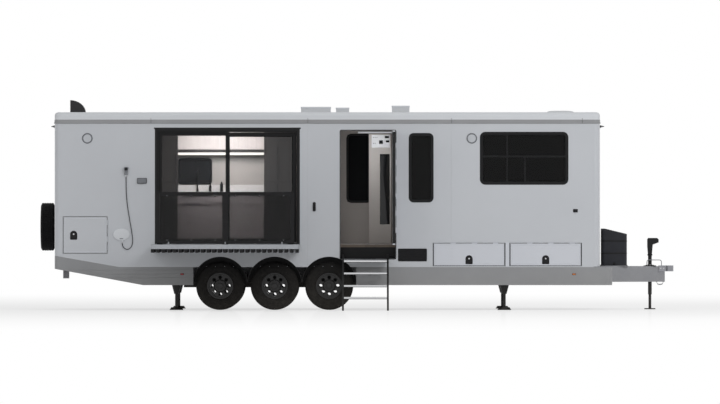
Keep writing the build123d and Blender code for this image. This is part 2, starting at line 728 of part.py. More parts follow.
# Patio frame: three-sided frame with a low sill, lining the opening and reaching inside
SLIDER_PLANE_1 = HALF_WIDTH - SLIDER_SET_BACK - SLIDER_THICK
SLIDER_PLANE_2 = SLIDER_PLANE_1 - SLIDER_THICK - SLIDER_GAP
SLIDER_BOTTOM = FLOOR_TOP + PATIO_SILL
SLIDER_TOP = PATIO_TOP - PATIO_FRAME
JAMB_REAR = PATIO_REAR + PATIO_FRAME
JAMB_FRONT = PATIO_FRONT - PATIO_FRAME
PATIO_MIDDLE = (JAMB_REAR + JAMB_FRONT) / 2
DECK_PIN_Y = -HALF_WIDTH - DECK_HINGE_OUT
DECK_PIN_Z = FLOOR_TOP + 3.0
DECK_KNUCKLES = 6


def knuckle_places(start, end, count):
    """Middles of the alternating hinge knuckles: the fixed ones first, then the moving ones."""
    step = (end - start) / (2 * count)
    return (
        [start + step * (2 * i + 0.5) for i in range(count)],
        [start + step * (2 * i + 1.5) for i in range(count)],
    )


DECK_PIN_RADIUS = HINGE_PIN_SHARE * DECK_HINGE_RADIUS
DECK_FIXED, DECK_MOVING = knuckle_places(DECK_REAR + 150, DECK_FRONT - 150, DECK_KNUCKLES)
with BuildPart() as patio_frame:
    with BuildSketch(side_plane(-1, HALF_WIDTH - PATIO_FRAME_DEPTH)):
        rounded(-1, (PATIO_REAR, PATIO_FRONT), (FLOOR_TOP, PATIO_TOP))
        rounded(-1, (JAMB_REAR, JAMB_FRONT), (SLIDER_BOTTOM, SLIDER_TOP), 0, Mode.SUBTRACT)
    extrude(amount=PATIO_FRAME_DEPTH)
    with BuildSketch(side_plane(-1, SLIDER_PLANE_1)):
        ring(-1, (JAMB_REAR, PATIO_MIDDLE + SLIDER_STILE / 2), (SLIDER_BOTTOM, SLIDER_TOP), SLIDER_STILE, 0)
    extrude(amount=SLIDER_THICK)
save(patio_frame, "patio_frame")

# Glass: fixed panes of the windows and the patio door's fixed half
with BuildPart() as window_glass:
    for side, x0, x1, z0, z1, radius in WINDOWS:
        inset = WINDOW_FRAME
        with BuildSketch(side_plane(side, HALF_WIDTH - 2 * GLASS_THICK)):
            rounded(side, (x0 + inset, x1 - inset), (z0 + inset, z1 - inset), radius - inset)
        extrude(amount=GLASS_THICK)
    with BuildSketch(side_plane(-1, SLIDER_PLANE_1 + SLIDER_THICK / 2)):
        rounded(
            -1,
            (JAMB_REAR + SLIDER_STILE, PATIO_MIDDLE - SLIDER_STILE / 2),
            (SLIDER_BOTTOM + SLIDER_STILE, SLIDER_TOP - SLIDER_STILE),
        )
    extrude(amount=GLASS_THICK)
save(window_glass, "window_glass")

# Sliding half of the patio door, on the inner track
SLIDER_CLEAR = 6.0
SLIDER_REAR = PATIO_MIDDLE - SLIDER_STILE / 2
SLIDER_FRONT = JAMB_FRONT - SLIDER_CLEAR
SLIDER_Z = (SLIDER_BOTTOM + SLIDER_CLEAR, SLIDER_TOP - SLIDER_CLEAR)
with BuildPart() as sliding_door:
    with BuildSketch(side_plane(-1, SLIDER_PLANE_2)):
        ring(-1, (SLIDER_REAR, SLIDER_FRONT), SLIDER_Z, SLIDER_STILE, 0)
        for x in (SLIDER_REAR + 2 * RUNNER_LENGTH, SLIDER_FRONT - 2 * RUNNER_LENGTH):
            rounded(
                -1,
                (x - RUNNER_LENGTH / 2, x + RUNNER_LENGTH / 2),
                (SLIDER_BOTTOM + RUNNER_GAP, SLIDER_Z[0]),
            )
    extrude(amount=SLIDER_THICK)
save(sliding_door, "sliding_door")

with BuildPart() as sliding_glass:
    with BuildSketch(side_plane(-1, SLIDER_PLANE_2 + SLIDER_THICK / 2)):
        rounded(
            -1,
            (SLIDER_REAR + SLIDER_STILE, SLIDER_FRONT - SLIDER_STILE),
            (SLIDER_Z[0] + SLIDER_STILE, SLIDER_Z[1] - SLIDER_STILE),
        )
    extrude(amount=GLASS_THICK)
save(sliding_glass, "sliding_glass")

# Patio deck: a light frame and top on dark ribs, with its hinge knuckles and the railing's ears
DECK_INNER = DECK_PIN_Y - DECK_HINGE_GAP
DECK_OUTER = DECK_PIN_Y - DECK_REACH
RAILING_PIN_Y = DECK_PIN_Y - RAILING_REACH
RAILING_PIN_Z = DECK_PIN_Z + RAILING_PIVOT_HEIGHT
RAILING_MIDDLE = (RAILING_REAR + RAILING_FRONT) / 2
EAR_PLACES = (RAILING_REAR + RAILING_EAR_INSET, RAILING_MIDDLE, RAILING_FRONT - RAILING_EAR_INSET)
with BuildPart() as patio_deck:
    block((DECK_REAR, DECK_FRONT), (DECK_OUTER, DECK_INNER), (DECK_PIN_Z - DECK_FRAME_HEIGHT, DECK_PIN_Z))
    for x in DECK_MOVING:
        barrel(x, DECK_PIN_Y, DECK_PIN_Z, DECK_HINGE_RADIUS, DECK_KNUCKLE_LENGTH, "X")
        block(
            (x - DECK_KNUCKLE_LENGTH / 2, x + DECK_KNUCKLE_LENGTH / 2),
            (DECK_INNER, DECK_PIN_Y),
            (DECK_PIN_Z - DECK_HINGE_RADIUS, DECK_PIN_Z),
        )
        bore(x, DECK_PIN_Y, DECK_PIN_Z, DECK_PIN_RADIUS + PIN_CLEARANCE, 2 * DECK_KNUCKLE_LENGTH, "X")
    for x in EAR_PLACES:
        block(
            (x - RAILING_EAR_WIDTH / 2, x + RAILING_EAR_WIDTH / 2),
            (RAILING_PIN_Y - RAILING_EAR_RADIUS, RAILING_PIN_Y + RAILING_EAR_RADIUS),
            (DECK_PIN_Z, RAILING_PIN_Z),
        )
        barrel(x, RAILING_PIN_Y, RAILING_PIN_Z, RAILING_EAR_RADIUS, RAILING_EAR_WIDTH, "X")
        bore(x, RAILING_PIN_Y, RAILING_PIN_Z, RAILING_PIN_RADIUS + PIN_CLEARANCE, 2 * RAILING_EAR_WIDTH, "X")
save(patio_deck, "patio_deck")

RIB_PITCH = (DECK_FRONT - DECK_REAR - DECK_RIB_WIDTH) / (DECK_RIB_COUNT - 1)
with BuildPart() as deck_ribs:
    for i in range(DECK_RIB_COUNT):
        x = DECK_REAR + RIB_PITCH * i
        z = DECK_PIN_Z - DECK_FRAME_HEIGHT
        block((x, x + DECK_RIB_WIDTH), (DECK_OUTER, DECK_INNER), (z - DECK_RIB_HEIGHT, z))
save(deck_ribs, "deck_ribs")

# Railing: one frame with a middle post, notched round the deck's ears, and two smoked panels
RAILING_Z = (RAILING_PIN_Z - RAILING_THICK / 2, RAILING_PIN_Z - RAILING_THICK / 2 + RAILING_HEIGHT)
RAILING_DISTANCE = -RAILING_PIN_Y - RAILING_THICK / 2
RAILING_BAYS = (
    (RAILING_REAR + RAILING_BAR, RAILING_MIDDLE - RAILING_POST / 2),
    (RAILING_MIDDLE + RAILING_POST / 2, RAILING_FRONT - RAILING_BAR),
)
PANEL_Z = (RAILING_Z[0] + RAILING_BAR, RAILING_Z[1] - RAILING_BAR)
with BuildPart() as deck_railing:
    with BuildSketch(side_plane(-1, RAILING_DISTANCE)):
        rounded(-1, (RAILING_REAR, RAILING_FRONT), RAILING_Z)
        for bay in RAILING_BAYS:
            rounded(-1, bay, PANEL_Z, 0, Mode.SUBTRACT)
        for x in EAR_PLACES:
            notch_top = RAILING_PIN_Z + RAILING_EAR_RADIUS + EAR_CLEARANCE
            rounded(-1, (x - RAILING_NOTCH / 2, x + RAILING_NOTCH / 2), (RAILING_Z[0], notch_top), 0, Mode.SUBTRACT)
    extrude(amount=RAILING_THICK)
    chamfer(deck_railing.edges().filter_by(Axis.X).group_by(Axis.Z)[0], RAILING_FOOT_CHAMFER)
    for x in EAR_PLACES:
        barrel(x, RAILING_PIN_Y, RAILING_PIN_Z, RAILING_PIN_RADIUS, RAILING_NOTCH + 4, "X")
save(deck_railing, "deck_railing")

with BuildPart() as railing_panels:
    with BuildSketch(side_plane(-1, -RAILING_PIN_Y - GLASS_THICK / 2)):
        for bay in RAILING_BAYS:
            rounded(-1, bay, PANEL_Z)
    extrude(amount=GLASS_THICK)
save(railing_panels, "railing_panels")

# Entry door, stored open square to the wall: its leaf spans y, and its outer face looks forward
DOOR_PIN_X = DOORWAY_FRONT + DOOR_PIN_AHEAD
DOOR_PIN_Y = -HALF_WIDTH - DOOR_PIN_OUT
DOOR_FACE_X = DOOR_PIN_X - DOOR_PIN_OUT
DOOR_INNER_X = DOOR_FACE_X - DOOR_THICK
DOOR_HINGE_EDGE = DOOR_PIN_Y - DOOR_PIN_AHEAD - DOOR_GAP
DOOR_WIDTH = DOORWAY_FRONT - DOORWAY_REAR - 2 * DOOR_GAP
DOOR_FREE_EDGE = DOOR_HINGE_EDGE - DOOR_WIDTH
DOOR_TOP = DOORWAY_TOP - DOOR_GAP
DOOR_GLASS_Y = (DOOR_FREE_EDGE + DOOR_GLASS_MARGIN, DOOR_HINGE_EDGE - DOOR_GLASS_MARGIN)
DOOR_GLASS_Z = (2020.0, DOOR_TOP - DOOR_GLASS_MARGIN)
DOOR_FIXED, DOOR_MOVING = knuckle_places(DOOR_BOTTOM + 100, DOOR_TOP - 100, 3)
KNUCKLE = 90.0
with BuildPart() as entry_door:
    block((DOOR_INNER_X, DOOR_FACE_X), (DOOR_FREE_EDGE, DOOR_HINGE_EDGE), (DOOR_BOTTOM, DOOR_TOP))
    block((DOOR_INNER_X, DOOR_FACE_X), DOOR_GLASS_Y, DOOR_GLASS_Z, Mode.SUBTRACT)
    for z in DOOR_MOVING:
        barrel(DOOR_PIN_X, DOOR_PIN_Y, z, DOOR_PIN_RADIUS, KNUCKLE, "Z")
        block(
            (DOOR_FACE_X, DOOR_PIN_X),
            (DOOR_HINGE_EDGE - 30, DOOR_PIN_Y),
            (z - KNUCKLE / 2, z + KNUCKLE / 2),
        )
        block(
            (DOOR_FACE_X + 9, DOOR_PIN_X),
            (DOOR_HINGE_EDGE - 30, DOOR_HINGE_EDGE),
            (z - KNUCKLE / 2, z + KNUCKLE / 2),
            Mode.SUBTRACT,
        )
        bore(DOOR_PIN_X, DOOR_PIN_Y, z, HINGE_PIN_SHARE * DOOR_PIN_RADIUS + PIN_CLEARANCE, 2 * KNUCKLE, "Z")
save(entry_door, "entry_door")

with BuildPart() as door_glass:
    block((DOOR_FACE_X - 25, DOOR_FACE_X - 25 + GLASS_THICK), DOOR_GLASS_Y, DOOR_GLASS_Z)
save(door_glass, "entry_door_glass")

# Entry steps: two bent stringers on a pin in the well, four treads and feet on the ground
STEP_PIN_Y = -HALF_WIDTH + STEP_PIN_IN
STEP_BEND_Y = -HALF_WIDTH - STEP_BEND_OUT
STEP_FOOT_Y = STEP_BEND_Y - STEP_PIN_Z / tan(radians(STEP_SLOPE))


def stringer_y(z):
    """Distance across at which the stringers' centre line stands at height z."""
    return STEP_BEND_Y - (STEP_PIN_Z - z) / tan(radians(STEP_SLOPE))


def stringer(x0, x1):
    """One bent stringer between two x limits, its lower end cut level on the ground."""
    with BuildSketch(Plane.YZ.offset(x0)) as outline:
        with BuildLine():
            below = STEP_PIN_Z / 2
            Polyline((STEP_PIN_Y, STEP_PIN_Z), (STEP_BEND_Y, STEP_PIN_Z), (stringer_y(-below), -below))
        trace(line_width=STEP_STRINGER_DEPTH)
        with Locations((STEP_PIN_Y, STEP_PIN_Z), (STEP_BEND_Y, STEP_PIN_Z)):
            Circle(STEP_STRINGER_DEPTH / 2)
        with Locations((STEP_FOOT_Y, -STEP_PIN_Z)):
            Rectangle(4 * STEP_PIN_Z, 2 * STEP_PIN_Z, mode=Mode.SUBTRACT)
        with Locations((STEP_PIN_Y, STEP_PIN_Z)):
            Circle(STEP_PIN_RADIUS + 0.05, mode=Mode.SUBTRACT)
    extrude(outline.sketch, amount=x1 - x0)


with BuildPart() as entry_steps:
    stringer(STEP_REAR, STEP_REAR + STEP_STRINGER)
    stringer(STEP_FRONT - STEP_STRINGER, STEP_FRONT)
    for z in STEP_TOPS:
        y = stringer_y(z) - STEP_TREAD_OUT
        block(
            (STEP_REAR + STEP_STRINGER, STEP_FRONT - STEP_STRINGER),
            (y - STEP_TREAD_DEPTH / 2, y + STEP_TREAD_DEPTH / 2),
            (z - STEP_TREAD_THICK, z),
        )
save(entry_steps, "entry_steps")

# Step well: a tray under the floor, open to the doorway, with the pins of the steps
with BuildPart() as step_well:
    block((DOORWAY_REAR, DOORWAY_FRONT), (-INNER_HALF, -WELL_IN), (DOORWAY_BOTTOM - STEP_WELL_THICK, FLOOR_BOTTOM))
    block(
        (DOORWAY_REAR + STEP_WELL_THICK, DOORWAY_FRONT - STEP_WELL_THICK),
        (-INNER_HALF, -WELL_IN - STEP_WELL_THICK),
        (DOORWAY_BOTTOM, FLOOR_BOTTOM),
        Mode.SUBTRACT,
    )
    for x0, x1 in ((DOORWAY_REAR + STEP_WELL_THICK, STEP_REAR), (STEP_FRONT, DOORWAY_FRONT - STEP_WELL_THICK)):
        inward = 1 if x1 == STEP_REAR else -1
        tip = x1 + STEP_STRINGER if inward > 0 else x0 - STEP_STRINGER
        ends = sorted((x0 if inward > 0 else x1, tip))
        barrel((ends[0] + ends[1]) / 2, STEP_PIN_Y, STEP_PIN_Z, STEP_PIN_RADIUS, ends[1] - ends[0], "X")
save(step_well, "step_well")


def lift_door(side, name, x0, x1, z0, z1):
    """A luggage door hinged along its top edge, with its moving knuckles."""
    pin_y = side * (HALF_WIDTH + LUGGAGE_PIN_OUT)
    pin_z = z1 + LUGGAGE_PIN_OUT
    _, moving = knuckle_places(x0 + 60, x1 - 60, 3)
    with BuildPart() as door:
        block((x0, x1), across(side, HALF_WIDTH - LUGGAGE_THICK, HALF_WIDTH), (z0, z1))
        for x in moving:
            barrel(x, pin_y, pin_z, LUGGAGE_PIN_RADIUS, KNUCKLE, "X")
            block(
                (x - KNUCKLE / 2, x + KNUCKLE / 2),
                across(side, HALF_WIDTH, HALF_WIDTH + LUGGAGE_PIN_OUT),
                (z1 - 30, pin_z),
            )
            block(
                (x - KNUCKLE / 2, x + KNUCKLE / 2),
                across(side, HALF_WIDTH + 3, HALF_WIDTH + LUGGAGE_PIN_OUT),
                (z1 - 30, z1),
                Mode.SUBTRACT,
            )
            bore(x, pin_y, pin_z, HINGE_PIN_SHARE * LUGGAGE_PIN_RADIUS + PIN_CLEARANCE, 2 * KNUCKLE, "X")
    save(door, name)


for label, x0, x1, z0, z1 in FRONT_LUGGAGE:
    lift_door(-1, f"luggage_door_near_{label}", x0, x1, z0, z1)
    lift_door(1, f"luggage_door_far_{label}", x0, x1, z0, z1)

REAR_PIN_X = REAR_DOOR_FRONT + LUGGAGE_PIN_OUT
REAR_PIN_Y = -HALF_WIDTH - LUGGAGE_PIN_OUT
REAR_FIXED, REAR_MOVING = knuckle_places(REAR_DOOR_BOTTOM + 30, REAR_DOOR_TOP - 30, 2)
with BuildPart() as rear_luggage_door:
    block(
        (REAR_DOOR_REAR, REAR_DOOR_FRONT),
        (-HALF_WIDTH, -HALF_WIDTH + LUGGAGE_THICK),
        (REAR_DOOR_BOTTOM, REAR_DOOR_TOP),
    )
    for z in REAR_MOVING:
        barrel(REAR_PIN_X, REAR_PIN_Y, z, LUGGAGE_PIN_RADIUS, KNUCKLE, "Z")
        block((REAR_DOOR_FRONT - 30, REAR_PIN_X), (REAR_PIN_Y, -HALF_WIDTH), (z - KNUCKLE / 2, z + KNUCKLE / 2))
        block(
            (REAR_DOOR_FRONT - 30, REAR_DOOR_FRONT),
            (REAR_PIN_Y, -HALF_WIDTH - 3),
            (z - KNUCKLE / 2, z + KNUCKLE / 2),
            Mode.SUBTRACT,
        )
        bore(REAR_PIN_X, REAR_PIN_Y, z, HINGE_PIN_SHARE * LUGGAGE_PIN_RADIUS + PIN_CLEARANCE, 2 * KNUCKLE, "Z")
save(rear_luggage_door, "luggage_door_near_rear")

def hinge_pin(x, y, z, radius, knuckle):
    """A pin along X from the first knuckle's outer end to the last one's."""
    start, end = x[0] - knuckle / 2, x[1] + knuckle / 2
    barrel((start + end) / 2, y, z, radius, end - start, "X")


def post_pin(x, y, z, radius, knuckle):
    """A pin along Z from the first knuckle's outer end to the last one's."""
    start, end = z[0] - knuckle / 2, z[1] + knuckle / 2
    barrel(x, y, (start + end) / 2, radius, end - start, "Z")


# Fixed halves of the deck's and the doors' hinges with their pins, on the walls' outer faces
with BuildPart() as hinge_plates:
    hinge_pin((DECK_FIXED[0], DECK_MOVING[-1]), DECK_PIN_Y, DECK_PIN_Z, DECK_PIN_RADIUS, DECK_KNUCKLE_LENGTH)
    for x in DECK_FIXED:
        barrel(x, DECK_PIN_Y, DECK_PIN_Z, DECK_HINGE_RADIUS, DECK_KNUCKLE_LENGTH, "X")
        block(
            (x - DECK_KNUCKLE_LENGTH / 2, x + DECK_KNUCKLE_LENGTH / 2),
            (DECK_PIN_Y, -HALF_WIDTH),
            (DECK_PIN_Z - 40, DECK_PIN_Z),
        )
    post_pin(DOOR_PIN_X, DOOR_PIN_Y, (DOOR_FIXED[0], DOOR_MOVING[-1]), HINGE_PIN_SHARE * DOOR_PIN_RADIUS, KNUCKLE)
    for z in DOOR_FIXED:
        barrel(DOOR_PIN_X, DOOR_PIN_Y, z, DOOR_PIN_RADIUS, KNUCKLE, "Z")
        block(
            (DOOR_PIN_X, DOOR_PIN_X + 45),
            (-HALF_WIDTH - 6, -HALF_WIDTH),
            (z - KNUCKLE / 2, z + KNUCKLE / 2),
        )
    post_pin(REAR_PIN_X, REAR_PIN_Y, (REAR_FIXED[0], REAR_MOVING[-1]), HINGE_PIN_SHARE * LUGGAGE_PIN_RADIUS, KNUCKLE)
    for z in REAR_FIXED:
        barrel(REAR_PIN_X, REAR_PIN_Y, z, LUGGAGE_PIN_RADIUS, KNUCKLE, "Z")
        block(
            (REAR_PIN_X, REAR_PIN_X + 40),
            (-HALF_WIDTH - 4, -HALF_WIDTH),
            (z - KNUCKLE / 2, z + KNUCKLE / 2),
        )
    for _, x0, x1, z0, z1 in FRONT_LUGGAGE:
        fixed, moving = knuckle_places(x0 + 60, x1 - 60, 3)
        for side in (-1, 1):
            hinge_pin((fixed[0], moving[-1]), side * (HALF_WIDTH + LUGGAGE_PIN_OUT), z1 + LUGGAGE_PIN_OUT,
                      HINGE_PIN_SHARE * LUGGAGE_PIN_RADIUS, KNUCKLE)
            for x in fixed:
                pin_z = z1 + LUGGAGE_PIN_OUT
                barrel(x, side * (HALF_WIDTH + LUGGAGE_PIN_OUT), pin_z, LUGGAGE_PIN_RADIUS, KNUCKLE, "X")
                block(
                    (x - KNUCKLE / 2, x + KNUCKLE / 2),
                    across(side, HALF_WIDTH, HALF_WIDTH + 4),
                    (pin_z, pin_z + 35),
                )
save(hinge_plates, "hinge_plates")

# Rear luggage bin: a tray open to its door
with BuildPart() as luggage_bin:
    bin_x = (REAR_DOOR_REAR - LUGGAGE_SWEEP_GAP - BIN_THICK, REAR_DOOR_FRONT + LUGGAGE_GAP + BIN_THICK)
    bin_z = (REAR_DOOR_BOTTOM - LUGGAGE_GAP - BIN_THICK, REAR_DOOR_TOP + LUGGAGE_GAP + BIN_THICK)
    block(bin_x, (-INNER_HALF, -BIN_IN), bin_z)
    block(
        (bin_x[0] + BIN_THICK, bin_x[1] - BIN_THICK),
        (-INNER_HALF, -BIN_IN - BIN_THICK),
        (bin_z[0] + BIN_THICK, bin_z[1] - BIN_THICK),
        Mode.SUBTRACT,
    )
save(luggage_bin, "luggage_bin")

# Tongue jack: foot, ram, tube through the flange plate, and the tapered motor head
with BuildPart() as tongue_jack:
    barrel(0, 0, JACK_FOOT_THICK / 2, JACK_FOOT_RADIUS, JACK_FOOT_THICK, "Z")
    barrel(0, 0, JACK_TUBE_BOTTOM / 2, JACK_RAM_RADIUS, JACK_TUBE_BOTTOM, "Z")
    barrel(0, 0, (JACK_TUBE_BOTTOM + JACK_TUBE_TOP) / 2, JACK_TUBE_RADIUS, JACK_TUBE_TOP - JACK_TUBE_BOTTOM, "Z")
    block((-105, 105), (-118, 118), (RAIL_TOP, RAIL_TOP + JACK_PLATE_THICK))
    with BuildSketch(Plane.XZ.offset(-45)):
        Polygon(
            (-34, JACK_TUBE_TOP), (34, JACK_TUBE_TOP), (48, 1090), (147, 1128), (147, 1180),
            (120, JACK_HEAD_TOP), (-30, JACK_HEAD_TOP), (-45, 1180), (-45, 1060),
            align=None,
        )
    extrude(amount=90)
save(tongue_jack, "tongue_jack")

# Coupler: side plates and a top plate on the tip, and the ball socket's nose
with BuildPart() as coupler:
    for side in (-1, 1):
        edge = TONGUE_TIP_WIDTH / 2
        block((TONGUE_TIP_BACK + 25, TONGUE_TIP), across(side, edge, edge + COUPLER_PLATE),
              (636, RAIL_TOP + COUPLER_PLATE))
    block(
        (TONGUE_TIP_BACK + 25, TONGUE_TIP),
        (-TONGUE_TIP_WIDTH / 2, TONGUE_TIP_WIDTH / 2),
        (RAIL_TOP, RAIL_TOP + COUPLER_PLATE),
    )
    block(
        (TONGUE_TIP, COUPLER_NOSE_X),
        (-COUPLER_NECK_WIDTH / 2, COUPLER_NECK_WIDTH / 2),
        (COUPLER_BOTTOM, RAIL_TOP + COUPLER_PLATE),
    )
    middle = (COUPLER_BOTTOM + RAIL_TOP + COUPLER_PLATE) / 2
    barrel(COUPLER_NOSE_X, 0, middle, COUPLER_NOSE_RADIUS, RAIL_TOP + COUPLER_PLATE - COUPLER_BOTTOM, "Z")
    bore(COUPLER_NOSE_X, 0, COUPLER_BOTTOM, BALL_RADIUS, 2 * BALL_SOCKET_DEPTH, "Z")
save(coupler, "coupler")

# Gas bottle cover on its tray across the tongue beams
GAS_BOTTOM = RAIL_TOP + TRAY_THICK
with BuildPart() as gas_cover:
    with BuildSketch(Plane.XZ.offset(-GAS_WIDTH / 2)):
        Polygon(
            (GAS_REAR, GAS_BOTTOM), (GAS_FRONT, GAS_BOTTOM), (GAS_FRONT, GAS_TOP - GAS_FRONT_DROP),
            (GAS_REAR + 60, GAS_TOP), (GAS_REAR, GAS_TOP), align=None,
        )
    extrude(amount=GAS_WIDTH)
    fillet(gas_cover.edges().filter_by(Axis.Z), 50)
    offset(amount=-GAS_SHELL, openings=gas_cover.faces().sort_by(Axis.Z)[0])
save(gas_cover, "gas_cover")

# Stabiliser jacks: body, tapered head, ram and foot
with BuildPart() as stabilisers:
    for x in STABILISER_PLACES:
        for side in (-1, 1):
            y = side * STABILISER_SPREAD
            barrel(x, y, (STABILISER_BODY_BOTTOM + RAIL_TOP) / 2, STABILISER_HEAD_RADIUS,
                   RAIL_TOP - STABILISER_BODY_BOTTOM, "Z")
            with Locations((x, y, (STABILISER_HEAD_BOTTOM + STABILISER_BODY_BOTTOM) / 2)):
                Cone(STABILISER_RAM_RADIUS + 14, STABILISER_HEAD_RADIUS, STABILISER_BODY_BOTTOM - STABILISER_HEAD_BOTTOM)
            barrel(x, y, STABILISER_HEAD_BOTTOM / 2, STABILISER_RAM_RADIUS, STABILISER_HEAD_BOTTOM, "Z")
            with Locations((x, y, STABILISER_FOOT_THICK / 2)):
                Cone(STABILISER_FOOT_RADIUS, STABILISER_FOOT_RADIUS - 30, STABILISER_FOOT_THICK)
save(stabilisers, "stabilisers")

# Spare wheel behind the body
SPARE_X = BODY_REAR - SPARE_STANDOFF - TYRE_WIDTH / 2
SPARE_SPOT = Location((SPARE_X, 0, SPARE_HEIGHT), (0, 0, -90))
with BuildPart() as spare_tyre:
    with Locations(SPARE_SPOT):
        add(tyre_form.part)
save(spare_tyre, "spare_tyre")

with BuildPart() as spare_wheel:
    with BuildSketch(Plane.XY):
        with BuildLine():
            Polyline(
                (RIM_RADIUS, WHEEL_FACE - 10),
                (RIM_RADIUS + RIM_FLANGE, WHEEL_FACE - 10),
                (RIM_RADIUS + RIM_FLANGE, WHEEL_FACE),
                (RIM_RADIUS - 8, WHEEL_FACE),
                (RIM_RADIUS - 12, WHEEL_FACE - 25),
                (RIM_RADIUS - 12, 25 - WHEEL_FACE),
                (RIM_RADIUS - 8, -WHEEL_FACE),
                (RIM_RADIUS + RIM_FLANGE, -WHEEL_FACE),
                (RIM_RADIUS + RIM_FLANGE, 10 - WHEEL_FACE),
                (RIM_RADIUS, 10 - WHEEL_FACE),
                close=True,
            )
        make_face()
    revolve(axis=Axis.Y)
    barrel(0, -55, 0, RIM_RADIUS - 11, 14, "Y")
    with BuildSketch(Plane.XZ.offset(40)):
        with PolarLocations(WINDOW_CIRCLE, WINDOW_COUNT, start_angle=90):
            Circle(WINDOW_RADIUS)
    extrude(amount=40, mode=Mode.SUBTRACT)
with BuildPart() as spare_rim:
    with Locations(SPARE_SPOT):
        add(spare_wheel.part)
save(spare_rim, "spare_wheel")

# Tail: the spare wheel's carrier and the receiver block under the raked rear crossmember
with BuildPart() as tail_fittings:
    face = SPARE_X - 48.0
    barrel((face + BODY_REAR - 12) / 2, 0, SPARE_HEIGHT, 60, BODY_REAR - 12 - face, "X")
    block((BODY_REAR - 12, BODY_REAR), (-180, 180), (SPARE_HEIGHT - 180, SPARE_HEIGHT + 180))
    with BuildSketch(Plane.XZ.offset(-TAIL_BLOCK_WIDTH / 2)):
        side_outline(
            -1,
            (
                (TAIL_BLOCK_REAR, skirt_z(TAIL_BLOCK_REAR)),
                (TAIL_BLOCK_FRONT, skirt_z(TAIL_BLOCK_FRONT)),
                (TAIL_BLOCK_FRONT, TAIL_BLOCK_BOTTOM),
                (TAIL_BLOCK_REAR, TAIL_BLOCK_BOTTOM),
            ),
        )
    extrude(amount=TAIL_BLOCK_WIDTH)
save(tail_fittings, "tail_fittings")

# Roof fittings: vent housings and the rear pod
with BuildPart() as roof_fittings:
    for x0, x1, half, height in ((-5890, -5390, 250, 100), (-5300, -5080, 110, 88), (-4357, -4062, 148, 120)):
        block((x0, x1), (-half, half), (ROOF_TOP, ROOF_TOP + height))
    with BuildSketch(Plane.XZ.offset(-POD_WIDTH / 2)):
        with BuildLine():
            Line((POD_REAR + POD_LENGTH, ROOF_TOP), (POD_REAR, ROOF_TOP))
            Line((POD_REAR, ROOF_TOP), (POD_REAR, ROOF_TOP + POD_HEIGHT))
            EllipticalCenterArc((POD_REAR, ROOF_TOP), POD_LENGTH, POD_HEIGHT, 0, arc_size=90)
        make_face()
    extrude(amount=POD_WIDTH)
save(roof_fittings, "roof_fittings")

# Outdoor shower: box on the wall, hand shower in its clip, and the hose between them
with BuildPart() as shower_box:
    with BuildSketch(side_plane(-1, HALF_WIDTH)):
        with Locations((SHOWER_BOX_X, SHOWER_BOX_Z)):
            Ellipse(SHOWER_BOX_LENGTH / 2, SHOWER_BOX_HEIGHT / 2)
    extrude(amount=SHOWER_BOX_THICK)
    barrel(HOSE_END_X, HOSE_Y, SHOWER_BOX_Z - SHOWER_BOX_HEIGHT / 2 + 5, SHOWER_HOSE_RADIUS + 3,
           2 * (5 + GLAND_DROP), "Z")
save(shower_box, "shower_box")

with BuildPart() as handset:
    block((HANDSET_X - 40, HANDSET_X + 40), (-HALF_WIDTH - 55, -HALF_WIDTH), (HANDSET_BOTTOM, HANDSET_TOP))
save(handset, "shower_handset")

# The hose hangs from the hand shower, loops below the box and turns up into its gland
HOSE_BOTTOM = SHOWER_BOX_Z - SHOWER_BOX_HEIGHT / 2 - GLAND_DROP
HOSE_POINTS = (
    (HANDSET_X, HANDSET_BOTTOM),
    (HANDSET_X, 2110.0),
    (-8812.0, 1945.0),
    (-8797.0, 1780.0),
    (-8773.0, 1612.0),
    (-8744.0, 1445.0),
    (-8718.0, 1290.0),
    (-8703.0, 1150.0),
    (-8722.0, 1056.0),
    (-8790.0, 1006.0),
    (-8858.0, 1040.0),
    (HOSE_END_X, 1100.0),
    (HOSE_END_X, HOSE_BOTTOM),
)


def bend_radii(points):
    """Radius at each inner point: 0.45 of the shorter run beside it over the tangent of half the turn."""
    radii = []
    for a, b, c in zip(points, points[1:], points[2:]):
        runs = (hypot(b[0] - a[0], b[1] - a[1]), hypot(c[0] - b[0], c[1] - b[1]))
        turn = atan2(c[1] - b[1], c[0] - b[0]) - atan2(b[1] - a[1], b[0] - a[0])
        turn = abs((turn + pi) % (2 * pi) - pi)
        radii.append(0.45 * min(runs) / tan(turn / 2))
    return radii


HOSE_RADII = bend_radii(HOSE_POINTS)
with BuildPart() as shower_hose:
    with BuildLine() as hose_route:
        FilletPolyline(*[(x, HOSE_Y, z) for x, z in HOSE_POINTS], radius=HOSE_RADII)
    with BuildSketch(Plane(hose_route.line @ 0, z_dir=hose_route.line % 0)):
        Circle(SHOWER_HOSE_RADIUS)
    sweep()
save(shower_hose, "shower_hose")
hose_length = hose_route.wires()[0].length
print("hose radii", [round(r) for r in HOSE_RADII])
print("hose length", hose_length, "volume ratio",
      shower_hose.part.volume / (hose_length * pi * SHOWER_HOSE_RADIUS ** 2))

# Furniture
KITCHEN_BACK = INNER_HALF
with BuildPart() as cabinets:
    counter_top = FLOOR_TOP + COUNTER_HEIGHT
    block((KITCHEN_REAR, KITCHEN_FRONT), (KITCHEN_BACK - COUNTER_DEPTH + 20, KITCHEN_BACK),
          (FLOOR_TOP, counter_top - COUNTER_THICK))
    block((KITCHEN_REAR, KITCHEN_FRONT), (KITCHEN_BACK - WALL_CABINET_DEPTH, KITCHEN_BACK),
          (WALL_CABINET_BOTTOM, WALL_CABINET_TOP))
    block((-4746, -4367), (-100, 500), (FLOOR_TOP, 2957))
    block((-2900, -1400), (-760, 760), (FLOOR_TOP, FLOOR_TOP + 420))
save(cabinets, "cabinets")

